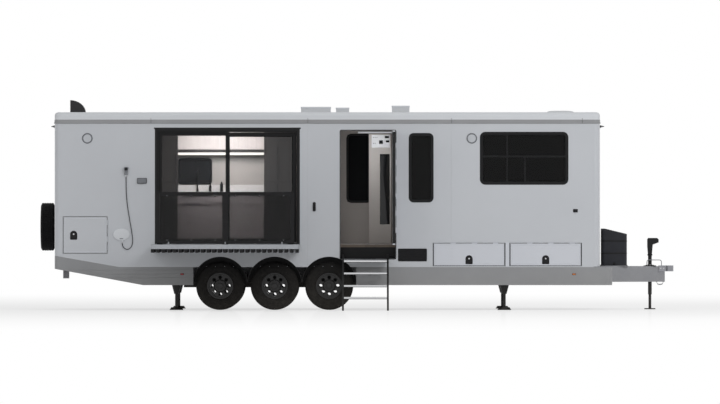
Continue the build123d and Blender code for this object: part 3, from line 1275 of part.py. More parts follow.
with BuildPart() as countertop:
    block((KITCHEN_REAR, KITCHEN_FRONT), (KITCHEN_BACK - COUNTER_DEPTH, KITCHEN_BACK),
          (counter_top - COUNTER_THICK, counter_top))
save(countertop, "countertop")

with BuildPart() as tall_cupboards:
    block((PANTRY_REAR, KITCHEN_REAR), (KITCHEN_BACK - COUNTER_DEPTH, KITCHEN_BACK), (FLOOR_TOP, TALL_TOP))
    block((KITCHEN_FRONT, FRIDGE_FRONT), (KITCHEN_BACK - COUNTER_DEPTH, KITCHEN_BACK), (FLOOR_TOP, TALL_TOP))
save(tall_cupboards, "tall_cupboards")

with BuildPart() as partitions:
    for x in (-8420.0, -4260.0):
        block((x, x + 30), (-INNER_HALF, INNER_HALF), (FLOOR_TOP, WALL_TOP))
        block((x, x + 30), (-330, 330), (FLOOR_TOP, FLOOR_TOP + 1950), Mode.SUBTRACT)
save(partitions, "partitions")

with BuildPart() as mattress:
    block((-2900, -1400), (-760, 760), (FLOOR_TOP + 420, FLOOR_TOP + 640))
save(mattress, "mattress")
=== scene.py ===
"""Looks of a travel trailer with a fold-down side deck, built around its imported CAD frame.

The frame is in metres: +X forward to the hitch, -Y the door side, +Z up, z = 0 the ground.
"""

import json
import logging
import math
from collections.abc import Sequence
from dataclasses import dataclass, field
from enum import Enum

import bmesh
import bpy
import numpy as np
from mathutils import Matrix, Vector

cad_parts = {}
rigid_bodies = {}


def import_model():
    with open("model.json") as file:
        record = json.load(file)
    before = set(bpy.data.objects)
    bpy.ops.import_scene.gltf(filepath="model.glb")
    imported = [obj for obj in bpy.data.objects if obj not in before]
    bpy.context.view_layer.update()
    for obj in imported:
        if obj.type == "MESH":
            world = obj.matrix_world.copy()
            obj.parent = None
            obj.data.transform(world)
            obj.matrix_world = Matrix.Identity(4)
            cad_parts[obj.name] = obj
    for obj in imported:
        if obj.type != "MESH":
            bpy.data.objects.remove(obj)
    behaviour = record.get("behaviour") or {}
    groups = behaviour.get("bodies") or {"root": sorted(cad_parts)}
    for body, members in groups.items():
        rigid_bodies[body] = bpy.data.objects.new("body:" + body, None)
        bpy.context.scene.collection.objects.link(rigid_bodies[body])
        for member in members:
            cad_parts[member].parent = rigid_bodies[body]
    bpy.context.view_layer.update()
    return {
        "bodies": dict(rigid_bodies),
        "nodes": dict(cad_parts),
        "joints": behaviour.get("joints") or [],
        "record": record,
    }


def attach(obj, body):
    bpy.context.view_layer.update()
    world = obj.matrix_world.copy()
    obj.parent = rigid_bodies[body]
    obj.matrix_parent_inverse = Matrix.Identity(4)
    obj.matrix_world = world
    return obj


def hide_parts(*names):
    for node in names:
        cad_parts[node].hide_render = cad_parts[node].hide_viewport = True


LOG = logging.getLogger("trailer")
Colour = tuple[float, float, float]

# Body measures shared by several sub-assemblies, in metres
HALF_WIDTH = 1.2955
WALL = 0.038
REAR_X = -10.016
FRONT_X = -0.873
ROOF_TOP = 3.315
SPARE_CENTRE = (-10.1665, 0, 1.392)


class Side(Enum):
    """Which long side of the body a piece is on."""

    NEAR = -1
    FAR = 1


@dataclass(frozen=True)
class Plane3:
    """A local frame: u and v lie in the surface, w points out of it."""

    origin: tuple[float, float, float]
    u: tuple[float, float, float]
    v: tuple[float, float, float]

    def place(self, points: np.ndarray) -> np.ndarray:
        """Turns local points into world ones: origin + u*a + v*b + (u x v)*c.

        Args:
            points: Array (..., 3) of local points (a, b, c).

        Returns:
            Array (..., 3) of world points.
        """
        u, v = np.array(self.u), np.array(self.v)
        return np.array(self.origin) + points @ np.stack([u, v, np.cross(u, v)])


def side_plane(side: Side, x: float = 0.0, z: float = 0.0, out: float = 0.0) -> Plane3:
    """The outer face of a side wall, u along the body as seen from outside, v up.

    Args:
        side: Which side.
        x: Place along the body of the local origin.
        z: Height of the local origin.
        out: Distance outward from the wall's outer face.

    Returns:
        The plane.
    """
    s = side.value
    return Plane3((x, s * (HALF_WIDTH + out), z), (-s, 0, 0), (0, 0, 1))


def over(side: Side, limits: Sequence[float]) -> tuple[Plane3, float, float]:
    """A side's plane at the middle of the limits (x0, x1, z0, z1), with their width and height."""
    x0, x1, z0, z1 = limits
    return side_plane(side, (x0 + x1) / 2, (z0 + z1) / 2), x1 - x0, z1 - z0


def axis_plane(origin: tuple[float, float, float], axis: str) -> Plane3:
    """A plane whose outward direction is a world axis such as "+X" or "-Z"."""
    frames = {
        "+X": ((0, 1, 0), (0, 0, 1)),
        "-X": ((0, -1, 0), (0, 0, 1)),
        "+Y": ((-1, 0, 0), (0, 0, 1)),
        "-Y": ((1, 0, 0), (0, 0, 1)),
        "+Z": ((1, 0, 0), (0, 1, 0)),
        "-Z": ((1, 0, 0), (0, -1, 0)),
    }
    return Plane3(origin, *frames[axis])


# Surfaces


@dataclass
class Surface:
    """Points and faces of one shape, before it becomes a mesh."""

    points: np.ndarray
    faces: list[tuple[int, ...]]

    def joined(self, *others: "Surface") -> "Surface":
        """One surface of this and the others, side by side."""
        points, faces = [self.points], list(self.faces)
        start = len(self.points)
        for other in others:
            points.append(other.points)
            faces += [tuple(i + start for i in face) for face in other.faces]
            start += len(other.points)
        return Surface(np.concatenate(points), faces)


def quads(rows: int, cols: int, wrap_rows: bool, wrap_cols: bool) -> list[tuple[int, ...]]:
    """Faces of a grid of points: each joins (i, j), (i+1, j), (i+1, j+1), (i, j+1), wrapped where closed."""
    i = np.arange(rows if wrap_rows else rows - 1)[:, None]
    j = np.arange(cols if wrap_cols else cols - 1)[None, :]
    ni, nj = (i + 1) % rows, (j + 1) % cols
    cells = np.stack([i * cols + j, i * cols + nj, ni * cols + nj, ni * cols + j], axis=-1)
    return [tuple(c) for c in cells.reshape(-1, 4).tolist()]


def loft(rings: np.ndarray, caps: tuple[bool, bool] = (True, True), closed: bool = False) -> Surface:
    """A skin over closed rings: ring k's point j joins ring k+1's point j.

    Args:
        rings: Array (k, n, 3) of rings.
        caps: Whether the first and the last ring are filled.
        closed: Whether the last ring joins the first.

    Returns:
        The surface.
    """
    k, n, _ = rings.shape
    faces = quads(k, n, closed, True)
    if caps[0] and not closed:
        faces.append(tuple(range(n - 1, -1, -1)))
    if caps[1] and not closed:
        faces.append(tuple(range((k - 1) * n, k * n)))
    return Surface(rings.reshape(-1, 3), faces)


def round_rect(width: float, height: float, radius: float, steps: int = 6) -> np.ndarray:
    """A rectangle with round corners, each centre + r(cos t, sin t) over a quarter turn."""
    r = max(min(radius, width / 2, height / 2), 1e-5)
    t = np.linspace(0, math.pi / 2, steps + 1)
    starts = np.arange(4)[:, None] * math.pi / 2
    cx = np.array([1, -1, -1, 1])[:, None] * (width / 2 - r)
    cy = np.array([1, 1, -1, -1])[:, None] * (height / 2 - r)
    x = cx + r * np.cos(starts + t)
    y = cy + r * np.sin(starts + t)
    return np.stack([x.ravel(), y.ravel()], axis=-1)


def lifted(line: np.ndarray, height: float) -> np.ndarray:
    """A flat outline raised to a height w."""
    return np.column_stack([line, np.full(len(line), height)])


def drawn_in(width: float, height: float, radius: float, levels: Sequence[tuple[float, float]]) -> np.ndarray:
    """Round-cornered outlines, each drawn in by its inset, at its own height."""
    return np.stack([lifted(round_rect(width - 2 * i, height - 2 * i, radius - i), w) for i, w in levels])


def slab(
        plane: Plane3, width: float, height: float, radius: float, levels: Sequence[tuple[float, float]]
) -> Surface:
    """A plate with round corners, built up from (inset, height) levels."""
    return loft(plane.place(drawn_in(width, height, radius, levels)))


def bezel(
        plane: Plane3, width: float, height: float, radius: float, profile: Sequence[tuple[float, float]]
) -> Surface:
    """A ring round an opening: the closed profile of (inset, height) pairs carried round the outline."""
    return loft(plane.place(drawn_in(width, height, radius, profile)), (False, False), closed=True)


def box(x: Sequence[float], y: Sequence[float], z: Sequence[float], ease: float = 0.002) -> Surface:
    """A box between limits, its long edges eased all round: a slab that rises along its shortest side."""
    lo = np.array([min(x), min(y), min(z)])
    hi = np.array([max(x), max(y), max(z)])
    mid, size = (lo + hi) / 2, hi - lo
    axis = int(np.argmin(size))
    e = min(ease, size[axis] * 0.45)
    name = ("+X", "+Y", "+Z")[axis]
    spans = {0: (size[1], size[2]), 1: (size[0], size[2]), 2: (size[0], size[1])}[axis]
    half = size[axis] / 2
    plane = axis_plane(tuple(mid), name)
    return slab(plane, *spans, e, [(e, -half), (0, e - half), (0, half - e), (e, half)])


def lathe(
        plane: Plane3, profile: Sequence[tuple[float, float]], segments: int = 32, closed: bool = False
) -> Surface:
    """A turned form: point (r, w) of the profile goes round as (r cos t, r sin t, w)."""
    p = np.array(profile, float)
    t = np.arange(segments) * 2 * math.pi / segments
    x = p[:, :1] * np.cos(t)
    y = p[:, :1] * np.sin(t)
    rings = np.stack([x, y, np.broadcast_to(p[:, 1:2], x.shape)], axis=-1)
    return loft(plane.place(rings), closed=closed)


def tube(path: np.ndarray, radius: float | np.ndarray, segments: int = 12, closed: bool = False) -> Surface:
    """A round bar along a path: circles square to its direction, kept from twisting by one fixed side."""
    d = np.roll(path, -1, 0) - np.roll(path, 1, 0) if closed else np.gradient(path, axis=0)
    d /= np.linalg.norm(d, axis=1, keepdims=True)
    spread = np.abs(d).max(0)
    side = np.eye(3)[int(np.argmin(spread))]
    a = np.cross(d, side)
    a /= np.linalg.norm(a, axis=1, keepdims=True)
    b = np.cross(d, a)
    t = np.arange(segments) * 2 * math.pi / segments
    r = np.broadcast_to(radius, (len(path),))[:, None, None]
    rings = path[:, None] + r * (a[:, None] * np.cos(t)[:, None] + b[:, None] * np.sin(t)[:, None])
    return loft(rings, closed=closed)


def run(plane: Plane3, profile: Sequence[tuple[float, float]], start: float, end: float) -> Surface:
    """A straight moulding: the closed profile in (v, w) carried along u."""
    p = np.array(profile, float)
    rings = np.stack([np.column_stack([np.full(len(p), u), p]) for u in (start, end)])
    return loft(plane.place(rings))


def copies(form: Surface, places: np.ndarray) -> Surface:
    """The same surface at many places, shifted by each row of places."""
    n = len(form.points)
    points = (form.points[None] + places[:, None]).reshape(-1, 3)
    faces = [tuple(i + n * k for i in f) for k in range(len(places)) for f in form.faces]
    return Surface(points, faces)


def put(name: str, data: bpy.types.ID) -> bpy.types.Object:
    """Puts data into the scene as an object."""
    made = bpy.data.objects.new(name, data)
    bpy.context.scene.collection.objects.link(made)
    return made


def face_out(mesh: bpy.types.Mesh, weld: float = 0.0) -> None:
    """Turns a mesh's faces outward, its points first welded where they are closer than a distance."""
    shell = bmesh.new()
    shell.from_mesh(mesh)
    if weld:
        bmesh.ops.remove_doubles(shell, verts=shell.verts, dist=weld)
    bmesh.ops.recalc_face_normals(shell, faces=shell.faces)
    shell.to_mesh(mesh)
    shell.free()


def piece(name: str, surface: Surface, material: bpy.types.Material, body: str = "trailer",
          sharp: float = 35.0) -> bpy.types.Object:
    """Makes a surface into a mesh object that rides on a body.

    Args:
        name: The piece's name.
        surface: Its points and faces.
        material: Its finish.
        body: The CAD body that it rides on.
        sharp: Angle in degrees above which an edge stays sharp.

    Returns:
        The object.
    """
    mesh = bpy.data.meshes.new(name)
    mesh.from_pydata(surface.points.tolist(), [], surface.faces)
    mesh.validate()
    face_out(mesh)
    mesh.shade_smooth()
    mesh.set_sharp_from_angle(angle=math.radians(sharp))
    mesh.update()
    made = put(name, mesh)
    mesh.materials.append(material)
    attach(made, body)
    return made


# Finishes


class Shader:
    """A small helper that lays out one material's nodes."""

    def __init__(self, name: str) -> None:
        """Starts an empty material whose output waits for a surface."""
        self.material = bpy.data.materials.new(name)
        self.material.use_nodes = True
        self.tree = self.material.node_tree
        self.tree.nodes.clear()
        self.out = self.tree.nodes.new("ShaderNodeOutputMaterial")

    def node(self, kind: str, **values: object) -> bpy.types.Node:
        """Adds a node, with values for its properties and for its sockets."""
        return add_node(self.tree, kind, values)

    def group(self, tree: bpy.types.NodeTree, **values: object) -> bpy.types.Node:
        """Adds a shared group with its inputs set or joined."""
        node = self.tree.nodes.new("ShaderNodeGroup")
        node.node_tree = tree
        for key, value in values.items():
            feed(self.tree, node.inputs[key.replace("_", " ")], value)
        return node

    def place(self) -> bpy.types.NodeSocket:
        """The place on the object, in its own coordinates."""
        return self.node("ShaderNodeTexCoord").outputs["Object"]

    def math(self, operation: str, *values: object) -> bpy.types.NodeSocket:
        """The result of a sum on sockets or numbers."""
        sockets = {f"in_{i}": value for i, value in enumerate(values)}
        return self.node("ShaderNodeMath", operation=operation, **sockets).outputs[0]

    def mix(self, share: object, one: object, two: object, blend: str = "MIX") -> bpy.types.NodeSocket:
        """A colour between two, by a share."""
        made = self.node("ShaderNodeMix", data_type="RGBA", blend_type=blend, in_0=share, in_6=one, in_7=two)
        return made.outputs[2]

    def banded(self, axis: str, middle: float, half: float, outside: Colour, inside: Colour) -> object:
        """One colour within half of the middle along an axis, the other outside."""
        parts = self.node("ShaderNodeSeparateXYZ", Vector=self.place())
        return self.mix(self.math("COMPARE", parts.outputs[axis], middle, half), outside, inside)

    def worn(self, wear: bpy.types.NodeTree, **values: object) -> dict[str, bpy.types.NodeSocket]:
        """The shared wear, as a surface's colour and roughness."""
        made = self.group(wear, **values)
        return {"Base_Color": made.outputs["Colour"], "Roughness": made.outputs["Roughness"]}

    def finish(self, kind: str, **values: object) -> bpy.types.Material:
        """Joins a surface of some kind to the output and returns the material."""
        surface = self.node(kind, **values)
        self.tree.links.new(surface.outputs[0], self.out.inputs["Surface"])
        return self.material


def feed(tree: bpy.types.NodeTree, socket: bpy.types.NodeSocket, value: object) -> None:
    """Joins a socket to another, or sets its value."""
    if isinstance(value, bpy.types.NodeSocket):
        tree.links.new(value, socket)
    elif isinstance(value, tuple) and len(value) == 3 and socket.type == "RGBA":
        socket.default_value = (*value, 1.0)
    else:
        socket.default_value = value


def add_node(tree: bpy.types.NodeTree, kind: str, values: dict[str, object]) -> bpy.types.Node:
    """Adds a node to a tree: in_N is a socket by its number, other keys are properties or sockets by name."""
    node = tree.nodes.new(kind)
    for key, value in values.items():
        if key.startswith("in_"):
            feed(tree, node.inputs[int(key[3:])], value)
        elif hasattr(node, key):
            setattr(node, key, value)
        else:
            feed(tree, node.inputs[key.replace("_", " ")], value)
    return node


def new_group(
        name: str, inputs: Sequence[tuple[str, str, object]], outputs: Sequence[tuple[str, str]]) -> tuple:
    """Starts a shader node group with named inputs and outputs.

    Args:
        name: The group's name.
        inputs: (name, socket kind, default) of each input.
        outputs: (name, socket kind) of each output.

    Returns:
        The group, its input node and its output node.
    """
    tree = bpy.data.node_groups.new(name, "ShaderNodeTree")
    for label, kind, default in inputs:
        socket = tree.interface.new_socket(label, in_out="INPUT", socket_type=kind)
        socket.default_value = (*default, 1.0) if isinstance(default, tuple) else default
    for label, kind in outputs:
        tree.interface.new_socket(label, in_out="OUTPUT", socket_type=kind)
    return tree, tree.nodes.new("NodeGroupInput"), tree.nodes.new("NodeGroupOutput")


def make_wear() -> bpy.types.NodeTree:
    """Shared wear: uneven tone over the surface and road dust low down."""
    tree, given, out = new_group(
        "wear",
        [
            ("Colour", "NodeSocketColor", (0.5, 0.5, 0.5)),
            ("Roughness", "NodeSocketFloat", 0.5),
            ("Tone", "NodeSocketFloat", 0.05),
            ("Scale", "NodeSocketFloat", 3.0),
            ("Dust", "NodeSocketFloat", 0.1),
            ("Dust top", "NodeSocketFloat", 0.8),
        ],
        [("Colour", "NodeSocketColor"), ("Roughness", "NodeSocketFloat")],
    )
    place = add_node(tree, "ShaderNodeTexCoord", {})
    patches = add_node(tree, "ShaderNodeTexNoise", {
        "Vector": place.outputs["Object"], "Scale": given.outputs["Scale"], "Detail": 6.0, "Roughness": 0.6})
    centred = add_node(
        tree, "ShaderNodeMath", {"operation": "SUBTRACT", "in_0": patches.outputs["Fac"], "in_1": 0.5})
    swing = add_node(tree, "ShaderNodeMath", {
        "operation": "MULTIPLY_ADD", "in_0": centred.outputs[0], "in_1": given.outputs["Tone"], "in_2": 0.5})
    toned = add_node(tree, "ShaderNodeMix", {"data_type": "RGBA", "blend_type": "SOFT_LIGHT"})
    feed(tree, toned.inputs[0], 1.0)
    feed(tree, toned.inputs[6], given.outputs["Colour"])
    feed(tree, toned.inputs[7], swing.outputs[0])
    axes = add_node(tree, "ShaderNodeSeparateXYZ", {"Vector": place.outputs["Object"]})
    low = add_node(tree, "ShaderNodeMapRange", {
        "Value": axes.outputs["Z"], "From Min": 0.0, "From Max": given.outputs["Dust top"],
        "To Min": given.outputs["Dust"], "To Max": 0.0})
    spread = add_node(tree, "ShaderNodeMath", {
        "operation": "MULTIPLY", "in_0": low.outputs[0], "in_1": patches.outputs["Fac"]})
    dusty = add_node(tree, "ShaderNodeMix", {"data_type": "RGBA"})
    feed(tree, dusty.inputs[0], spread.outputs[0])
    feed(tree, dusty.inputs[6], toned.outputs[2])
    feed(tree, dusty.inputs[7], (0.33, 0.3, 0.26))
    rough = add_node(tree, "ShaderNodeMath", {
        "operation": "MULTIPLY_ADD", "in_0": centred.outputs[0], "in_1": 0.12,
        "in_2": given.outputs["Roughness"]})
    feed(tree, out.inputs["Colour"], dusty.outputs[2])
    feed(tree, out.inputs["Roughness"], rough.outputs[0])
    return tree


def make_relief() -> bpy.types.NodeTree:
    """Shared relief: two scales of noise as a bump over softened edges."""
    tree, given, out = new_group(
        "relief",
        [
            ("Scale", "NodeSocketFloat", 200.0),
            ("Strength", "NodeSocketFloat", 0.1),
            ("Distance", "NodeSocketFloat", 0.001),
            ("Edge", "NodeSocketFloat", 0.002),
        ],
        [("Normal", "NodeSocketVector")],
    )
    place = add_node(tree, "ShaderNodeTexCoord", {})
    grain = add_node(tree, "ShaderNodeTexNoise", {
        "Vector": place.outputs["Object"], "Scale": given.outputs["Scale"], "Detail": 4.0})
    soft = add_node(tree, "ShaderNodeBevel", {"samples": 3, "Radius": given.outputs["Edge"]})
    bump = add_node(tree, "ShaderNodeBump", {
        "Height": grain.outputs["Fac"], "Strength": given.outputs["Strength"],
        "Distance": given.outputs["Distance"], "Normal": soft.outputs[0]})
    feed(tree, out.inputs["Normal"], bump.outputs[0])
    return tree


class Groups:
    """The node groups that several finishes share, made once."""

    def __init__(self) -> None:
        """Builds each group."""
        self.wear = make_wear()
        self.relief = make_relief()


def linear(red: float, green: float, blue: float) -> Colour:
    """Linear colour of a display colour in 0-255: ((c + 0.055) / 1.055) ** 2.4, or c / 12.92 near black."""
    c = np.array([red, green, blue]) / 255
    return tuple(np.where(c < 0.04045, c / 12.92, ((c + 0.055) / 1.055) ** 2.4).tolist())


@dataclass(frozen=True)
class Coating:
    """Paint, plastic, rubber or plated metal: uneven tone, fine relief and road dust over a colour."""

    name: str
    colour: Colour
    roughness: float = 0.4
    metallic: float = 0.0
    coat: float = 0.0
    tone: float = 0.25
    patch: float = 2.5
    grain: float = 300.0
    relief: float = 0.08
    depth: float = 0.0006
    edge: float = 0.002
    dust: float = 0.15
    dust_top: float = 0.8
    specular: float = 0.5
    other: Colour | None = None
    band: tuple[str, float, float] = ("Y", 0.0, 1.262)

    def tint(self, s: "Shader") -> object:
        """The colour, or the other one within half of the middle along the band's axis."""
        if self.other is None:
            return self.colour
        return s.banded(*self.band, self.colour, self.other)

    def make(self, groups: Groups) -> bpy.types.Material:
        """Lays out the material's nodes."""
        s = Shader(self.name)
        look = s.worn(
            groups.wear, Colour=self.tint(s), Roughness=self.roughness, Tone=self.tone, Scale=self.patch,
            Dust=self.dust, Dust_top=self.dust_top)
        relief = s.group(
            groups.relief, Scale=self.grain, Strength=self.relief, Distance=self.depth, Edge=self.edge)
        return s.finish(
            "ShaderNodeBsdfPrincipled", **look, Normal=relief.outputs["Normal"], Metallic=self.metallic,
            Coat_Weight=self.coat, Coat_Roughness=0.15, Specular_IOR_Level=self.specular)


@dataclass(frozen=True)
class Pane:
    """Sheet glass or acrylic: clear to light and shadow rays through its tint, glossy to the eye."""

    name: str
    tint: Colour
    roughness: float = 0.0
    ior: float = 1.45
    inner_tint: Colour | None = None
    inner_half: float = 1.26

    def make(self, groups: Groups) -> bpy.types.Material:
        """Mixes a transmitting surface with a plain tinted one for shadow and diffuse rays."""
        s = Shader(self.name)
        tint = self.tint
        if self.inner_tint:
            tint = s.banded("Y", 0.0, self.inner_half, self.tint, self.inner_tint)
        ripple = s.node("ShaderNodeTexNoise", Vector=s.place(), Scale=1.3, Detail=1.0)
        bump = s.node("ShaderNodeBump", Height=ripple.outputs["Fac"], Strength=0.03, Distance=0.01)
        body = s.node("ShaderNodeBsdfPrincipled", Base_Color=tint, Roughness=self.roughness,
                      Normal=bump.outputs[0], IOR=self.ior, Transmission_Weight=1.0)
        passing = s.node("ShaderNodeBsdfTransparent", Color=tint)
        rays = s.node("ShaderNodeLightPath")
        either = s.math("MAXIMUM", rays.outputs["Is Shadow Ray"], rays.outputs["Is Diffuse Ray"])
        return s.finish("ShaderNodeMixShader", in_0=either, in_1=body.outputs[0], in_2=passing.outputs[0])


@dataclass(frozen=True)
class Veneer:
    """Grained board: long streaks along one axis between two tones."""

    name: str
    light: Colour
    dark: Colour
    along: str = "Z"
    roughness: float = 0.45
    planks: float = 0.0

    def make(self, groups: Groups) -> bpy.types.Material:
        """Stretches noise along the grain, and parts planks with thin dark joints where they have a width."""
        s = Shader(self.name)
        place = s.place()
        squeeze = {"X": (1.2, 30.0, 30.0), "Y": (30.0, 1.2, 30.0), "Z": (30.0, 30.0, 1.2)}[self.along]
        mapped = s.node("ShaderNodeMapping", Vector=place, Scale=squeeze)
        streak = s.node("ShaderNodeTexNoise", Vector=mapped.outputs[0], Scale=1.0, Detail=7.0, Distortion=0.6)
        colour = s.mix(streak.outputs["Fac"], self.dark, self.light)
        if self.planks:
            bricks = s.node(
                "ShaderNodeTexBrick", Vector=place, Color1=(1.0, 1.0, 1.0), Color2=(0.8, 0.8, 0.8),
                Mortar=(0.25, 0.25, 0.25), Scale=1.0, Mortar_Size=0.002, Brick_Width=1.2,
                Row_Height=self.planks)
            colour = s.mix(1.0, colour, bricks.outputs[0], "MULTIPLY")
        look = s.worn(groups.wear, Colour=colour, Roughness=self.roughness, Tone=0.2, Scale=2.0, Dust=0.0)
        bump = s.node("ShaderNodeBump", Height=streak.outputs["Fac"], Strength=0.15, Distance=0.0006)
        return s.finish("ShaderNodeBsdfPrincipled", **look, Normal=bump.outputs[0])


@dataclass(frozen=True)
class Stone:
    """Speckled solid worktop: small cells of two tones under a polish."""

    name: str
    ground: Colour
    fleck: Colour

    def make(self, groups: Groups) -> bpy.types.Material:
        """Picks a share of small Voronoi cells as flecks."""
        s = Shader(self.name)
        cells = s.node("ShaderNodeTexVoronoi", Vector=s.place(), Scale=260.0)
        colour = s.mix(s.math("LESS_THAN", cells.outputs["Distance"], 0.28), self.ground, self.fleck)
        look = s.worn(groups.wear, Colour=colour, Roughness=0.22, Tone=0.2, Scale=4.0, Dust=0.0)
        return s.finish("ShaderNodeBsdfPrincipled", **look)


@dataclass(frozen=True)
class Cloth:
    """Woven cover: two crossed sets of threads as relief and tone."""

    name: str
    colour: Colour
    threads: float = 700.0

    def make(self, groups: Groups) -> bpy.types.Material:
        """Multiplies two sine waves across each other for the weave."""
        s = Shader(self.name)
        warp, weft = (
            s.node(
                "ShaderNodeTexWave", Vector=s.place(), Scale=self.threads / 6.3, bands_direction=way,
                Distortion=0.4).outputs["Fac"]
            for way in ("X", "Y"))
        look = s.worn(groups.wear, Colour=self.colour, Roughness=0.9, Tone=0.3, Scale=6.0, Dust=0.0)
        bump = s.node("ShaderNodeBump", Height=s.math("MULTIPLY", warp, weft), Strength=0.3, Distance=0.0008)
        return s.finish("ShaderNodeBsdfPrincipled", **look, Normal=bump.outputs[0], Sheen_Weight=0.3)


@dataclass(frozen=True)
class Glow:
    """A lit diffuser strip behind milky plastic."""

    name: str
    colour: Colour
    strength: float

    def make(self, groups: Groups) -> bpy.types.Material:
        """A milky surface that gives light of its own."""
        s = Shader(self.name)
        look = s.worn(groups.wear, Colour=self.colour, Roughness=0.5, Tone=0.1, Scale=9.0, Dust=0.0)
        return s.finish(
            "ShaderNodeBsdfPrincipled", **look, Emission_Color=look["Base_Color"],
            Emission_Strength=self.strength)


FINISHES = (
    Coating("body_panels", linear(196, 199, 204), 0.3, coat=0.4, tone=0.12, patch=0.7, grain=40, relief=0.02),
    Coating(
        "wall_panels", linear(196, 199, 204), 0.3, coat=0.4, tone=0.12, patch=0.7, grain=40, relief=0.02,
        other=linear(138, 132, 128)),
    Coating(
        "luggage_doors", linear(206, 209, 216), 0.3, coat=0.4, tone=0.12, patch=0.9, grain=40, relief=0.02),
    Coating("pale_board", linear(176, 172, 169), 0.5, tone=0.12, patch=3, grain=300, relief=0.05, dust=0.0),
    Coating(
        "screen", linear(16, 18, 20), 0.12, tone=0.1, patch=8, grain=900, relief=0.01, dust=0.0, specular=0.4
    ),
    Coating(
        "blind", linear(20, 21, 23), 0.85, tone=0.2, patch=6, grain=1200, relief=0.2, dust=0.0, specular=0.15
    ),
    Coating("roof", linear(214, 217, 221), 0.45, tone=0.15, patch=1.2, grain=120, relief=0.05),
    Coating("skirt", linear(146, 147, 149), 0.42, coat=0.1, tone=0.2, patch=1.5, dust=0.35, dust_top=0.75),
    Coating("chassis", linear(150, 151, 155), 0.5, tone=0.25, dust=0.35),
    Coating(
        "running_gear", linear(26, 26, 27), 0.7, specular=0.3, tone=0.5, patch=7, grain=160, relief=0.3,
        dust=0.6),
    Coating(
        "black_metal", linear(15, 15, 17), 0.42, tone=0.4, patch=4, grain=500, relief=0.12, dust=0.12,
        specular=0.25),
    Coating(
        "black_trim", linear(12, 12, 14), 0.35, tone=0.3, patch=5, grain=700, relief=0.06, dust=0.04,
        specular=0.3),
    Coating(
        "seal_rubber", linear(12, 12, 13), 0.8, tone=0.3, patch=9, grain=900, relief=0.15, dust=0.04,
        specular=0.2),
    Coating(
        "tyre", linear(16, 16, 17), 0.78, tone=0.4, patch=14, grain=420, relief=0.2, dust=0.2, dust_top=0.9,
        specular=0.2),
    Coating(
        "rim", linear(17, 17, 19), 0.3, coat=0.2, tone=0.3, patch=6, grain=60, relief=0.03, dust=0.1,
        specular=0.3),
    Coating(
        "jack", linear(20, 20, 22), 0.45, specular=0.3, tone=0.3, patch=8, grain=500, relief=0.15, dust=0.2),
    Coating("coupler", linear(150, 151, 156), 0.35, metallic=0.8, tone=0.4, patch=12, grain=220, relief=0.1),
    Coating(
        "bright_steel", linear(205, 206, 208), 0.22, metallic=1.0, tone=0.25, patch=20, grain=300, relief=0.03
    ),
    Coating(
        "gas_cover", linear(42, 43, 48), 0.55, specular=0.3, tone=0.25, patch=5, grain=800, relief=0.35,
        depth=0.001),
    Coating(
        "roof_plastic", linear(205, 207, 210), 0.5, tone=0.2, patch=6, grain=700, relief=0.12,
        other=linear(24, 24, 26), band=("X", -9.7, 0.2)),
    Coating("black_plastic", linear(20, 20, 23), 0.5, specular=0.3, tone=0.3, patch=6, grain=900, relief=0.2),
    Coating("white_plastic", linear(214, 217, 221), 0.35, tone=0.12, patch=6, grain=500, relief=0.05),
    Coating("grey_plastic", linear(118, 121, 126), 0.4, tone=0.2, patch=8, grain=600, relief=0.1),
    Coating("sealant", linear(186, 189, 192), 0.6, tone=0.2, patch=20, grain=120, relief=0.25),
    Coating("red_lens", linear(176, 24, 20), 0.15, coat=0.8, tone=0.2, patch=30, grain=150, relief=0.2),
    Coating("amber_lens", linear(214, 120, 30), 0.15, coat=0.8, tone=0.2, patch=30, grain=150, relief=0.2),
    Coating("clear_lens", linear(228, 230, 234), 0.12, coat=0.8, tone=0.1, patch=30, grain=150, relief=0.2),
    Coating("inner_wall", linear(150, 144, 139), 0.6, tone=0.15, patch=1.5, grain=350, relief=0.15, dust=0.0),
    Coating(
        "deck", linear(164, 167, 172), 0.4, metallic=0.3, tone=0.25, patch=4, grain=260, relief=0.2, dust=0.1
    ),
    Coating(
        "galvanised", linear(150, 152, 155), 0.45, metallic=0.7, tone=0.5, patch=22, grain=90, relief=0.1),
    Pane("clear_glass", (0.8, 0.81, 0.82), ior=1.3),
    Pane("dark_glass", (0.12, 0.13, 0.14), ior=1.22, inner_tint=(0.8, 0.81, 0.82)),
    Pane("smoked_acrylic", (0.2, 0.2, 0.21), ior=1.25),
    Veneer("cabinet", linear(182, 173, 170), linear(152, 144, 141), "Z"),
    Veneer("dark_cabinet", linear(42, 39, 38), linear(26, 24, 24), "Z"),
    Veneer("floor_wood", linear(140, 126, 112), linear(104, 92, 82), "X", 0.5, planks=0.15),
    Stone("worktop", linear(176, 172, 170), linear(120, 116, 116)),
    Cloth("fabric", linear(206, 204, 200)),
    Cloth("hose", linear(60, 62, 66), 900.0),
    Glow("strip_light", linear(205, 198, 192), 0.8),
    Glow("spot_light", linear(255, 250, 240), 5.0),
)

